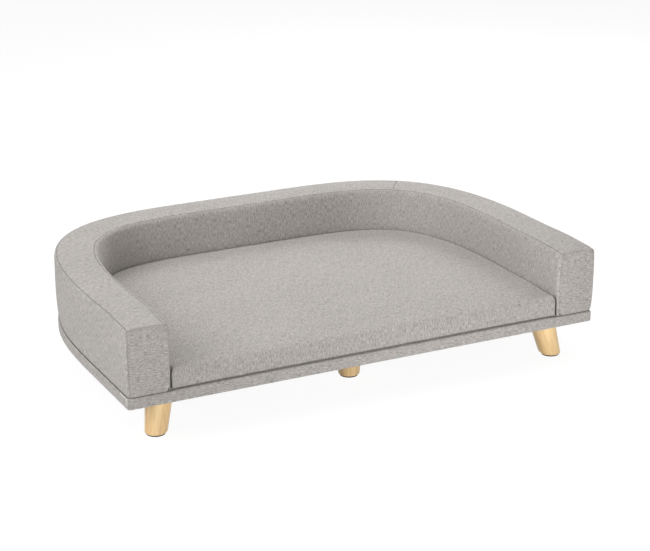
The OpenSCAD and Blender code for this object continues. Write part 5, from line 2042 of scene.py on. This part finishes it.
class DOGSOFA_OT_stitches(Operator):
    """The few pale hand stitches that close the fold at the base's front left corner"""

    bl_idname = "dog_sofa.stitches"
    bl_label = "Corner stitches"

    def execute(self, context):
        work = bmesh.new()
        x, y = BASE_LOW.x, BASE_LOW.y
        tilt = Matrix.Rotation(0.35, 4, "X")
        for back, z, r in (  # millimetres
            (6.2, 94.0, (0.9, 1.9, 1.1)),
            (5.6, 90.1, (0.9, 0.95, 0.9)),
            (5.6, 87.2, (0.9, 0.9, 0.85)),
            (5.6, 84.2, (0.9, 0.85, 0.85)),
        ):
            place = Matrix.Translation((x - 0.1 * MM, y + back * MM, z * MM))
            where = place @ tilt @ Matrix.Diagonal((*r, 1))
            bmesh.ops.create_uvsphere(work, u_segments=12, v_segments=8, radius=MM, matrix=where)
        bmesh_piece(work, "corner_hand_stitches", "sofa", "fabric", finish="thread")
        self.loose_thread(x, y)
        return {"FINISHED"}

    def loose_thread(self, x, y):
        """The thread that the stitches leave along the side's top edge."""
        rings = []
        for t in np.linspace(0, 1, 40):
            r = 0.65 * MM * min(1.0, 12 * t + 0.2, 12 * (1 - t) + 0.2)
            back = y + (11.5 + 30 * t) * MM
            side = x + (0.3 + 0.15 * math.sin(9 * t)) * MM
            high = (94.2 + 0.5 * math.sin(7 * t + 1)) * MM
            rings.append([(side + a, back, high + b) for a, b in circle_points((0, 0), r, 10)])
        rings = np.array(rings)
        thread = closed_body(rings, rings[0].mean(0), rings[-1].mean(0))
        shaped_piece("corner_thread", thread, "sofa", "fabric", finish="thread")


# ---- Stage ----


MIDDLE = (0, 0, 0.12)
RIGHT_LEG = (0.43, -0.28, 0.05)
LAMPS = {  # place, aim and width, in metres
    "left": ((-2.559, -0.451, 1.62), MIDDLE, 1.6),
    "left_high": ((-1.5, 0, 2.718), MIDDLE, 1.6),
    "rear_right": ((1.738, 1.738, 1.841), MIDDLE, 1.6),
    "overhead": ((0.3, 0.3, 2.2), (0.3, 0.1, 0.12), 0.8),
    "front_low": ((-1.016, -2.792, 0.538), MIDDLE, 1.6),
    "front_near": ((0.25, -1.2, 0.15), RIGHT_LEG, 0.4),
}


class DOGSOFA_OT_stage(Operator):
    """Floor, lamps and the camera at the photograph's angle"""

    bl_idname = "dog_sofa.stage"
    bl_label = "Stage"

    def execute(self, context):
        stage = sizes("stage")
        scene = context.scene
        a, e = stage.azimuth, stage.elevation
        back = Vector((math.sin(a) * math.cos(e), -math.cos(a) * math.cos(e), math.sin(e)))
        right = Vector((math.cos(a), math.sin(a), 0))
        up = back.cross(right)
        target = Vector(stage.target) + right * stage.aside + up * stage.above
        lens = bpy.data.cameras.new("camera")
        camera = bpy.data.objects.new("camera", lens)
        scene.collection.objects.link(camera)
        turn = Matrix((right, up, back)).transposed().to_4x4()
        camera.matrix_world = Matrix.Translation(target + back * stage.distance) @ turn
        lens.sensor_width = 36
        lens.lens = stage.lens
        lens.shift_x, lens.shift_y = stage.shift
        lens.clip_start, lens.clip_end = 0.05, 60
        scene.camera = camera
        scene.view_settings.view_transform = "Standard"
        for name, (place, aim, width) in LAMPS.items():
            self.lamp(name, Vector(place), Vector(aim), width, getattr(stage, name))
        self.sky(scene)
        self.floor(scene)
        return {"FINISHED"}

    def lamp(self, name, place, aim, width, power):
        """A square soft lamp, aimed at a point."""
        light = bpy.data.lights.new(name + "_lamp", "AREA")
        light.shape = "SQUARE"
        light.size = width
        light.energy = power
        lamp = bpy.data.objects.new(name + "_lamp", light)
        bpy.context.scene.collection.objects.link(lamp)
        lamp.location = place
        lamp.rotation_euler = (place - aim).to_track_quat("Z", "Y").to_euler()

    def seen_directly(self, recipe):
        """1 where a thing is seen directly, in a mirror or through glass, 0 elsewhere."""
        ray = recipe.add("LightPath").node.outputs
        seen = recipe.calc("MAXIMUM", ray["Is Camera Ray"], ray["Is Glossy Ray"])
        return recipe.calc("MAXIMUM", seen, ray["Is Transmission Ray"])

    def sky(self, scene):
        """White where it is seen, with no light of its own."""
        scene.world = bpy.data.worlds.new("studio")
        recipe = Recipe(scene.world)
        background = recipe.tree.nodes["Background"].inputs
        background["Color"].default_value = (1, 1, 1, 1)
        recipe.feed(background["Strength"], self.seen_directly(recipe))

    def floor(self, scene):
        """A white floor that glows where it is seen, and still takes a soft shadow."""
        reach, glow_part = 9.0, 0.89
        mesh = bpy.data.meshes.new("floor")
        corners = [(-reach, -reach, 0), (reach, -reach, 0), (reach, reach, 0), (-reach, reach, 0)]
        mesh.from_pydata(corners, [], [(0, 1, 2, 3)])
        plane = bpy.data.objects.new("floor", mesh)
        scene.collection.objects.link(plane)
        paper = Recipe("white_paper")
        paper.tree.nodes.remove(paper.shader)
        matt = paper.add("BsdfDiffuse", {"Color": (0.86, 0.86, 0.86, 1)})
        glow = paper.add("Emission", {"Color": (1, 1, 1, 1), "Strength": 1.06})
        part = paper.calc("MULTIPLY", self.seen_directly(paper), glow_part)
        mixed = paper.add("MixShader", {0: part, 1: matt, 2: glow})
        paper.feed(paper.tree.nodes["Material Output"].inputs["Surface"], mixed)
        mesh.materials.append(paper.owner)


# ---- Panel and registration ----

STEPS = (
    DOGSOFA_OT_base_cover,
    DOGSOFA_OT_base_padding,
    DOGSOFA_OT_boards,
    DOGSOFA_OT_bolster_cover,
    DOGSOFA_OT_arm_fronts,
    DOGSOFA_OT_bolster_padding,
    DOGSOFA_OT_cushion,
    DOGSOFA_OT_zip,
    DOGSOFA_OT_dust_cloth,
    DOGSOFA_OT_legs,
    DOGSOFA_OT_glides,
    DOGSOFA_OT_fittings,
    DOGSOFA_OT_stitches,
    DOGSOFA_OT_stage,
)


class DOGSOFA_PT_build(Panel):
    """The build steps, in order"""

    bl_idname = "DOGSOFA_PT_build"
    bl_label = "Dog sofa bed"
    bl_space_type = "VIEW_3D"
    bl_region_type = "UI"
    bl_category = "Dog sofa"

    def draw(self, context):
        for step in STEPS:
            self.layout.operator(step.bl_idname)


def register():
    for name, group in GROUPS.items():
        bpy.utils.register_class(group)
        setattr(bpy.types.Scene, name, PointerProperty(type=group))
    for step in (*STEPS, DOGSOFA_PT_build):
        bpy.utils.register_class(step)


def unregister():
    for step in reversed((*STEPS, DOGSOFA_PT_build)):
        bpy.utils.unregister_class(step)
    for name, group in reversed(list(GROUPS.items())):
        delattr(bpy.types.Scene, name)
        bpy.utils.unregister_class(group)


def main():
    register()
    for step in STEPS:
        group, name = step.bl_idname.split(".")
        getattr(getattr(bpy.ops, group), name)()


if __name__ == "__main__":
    main()
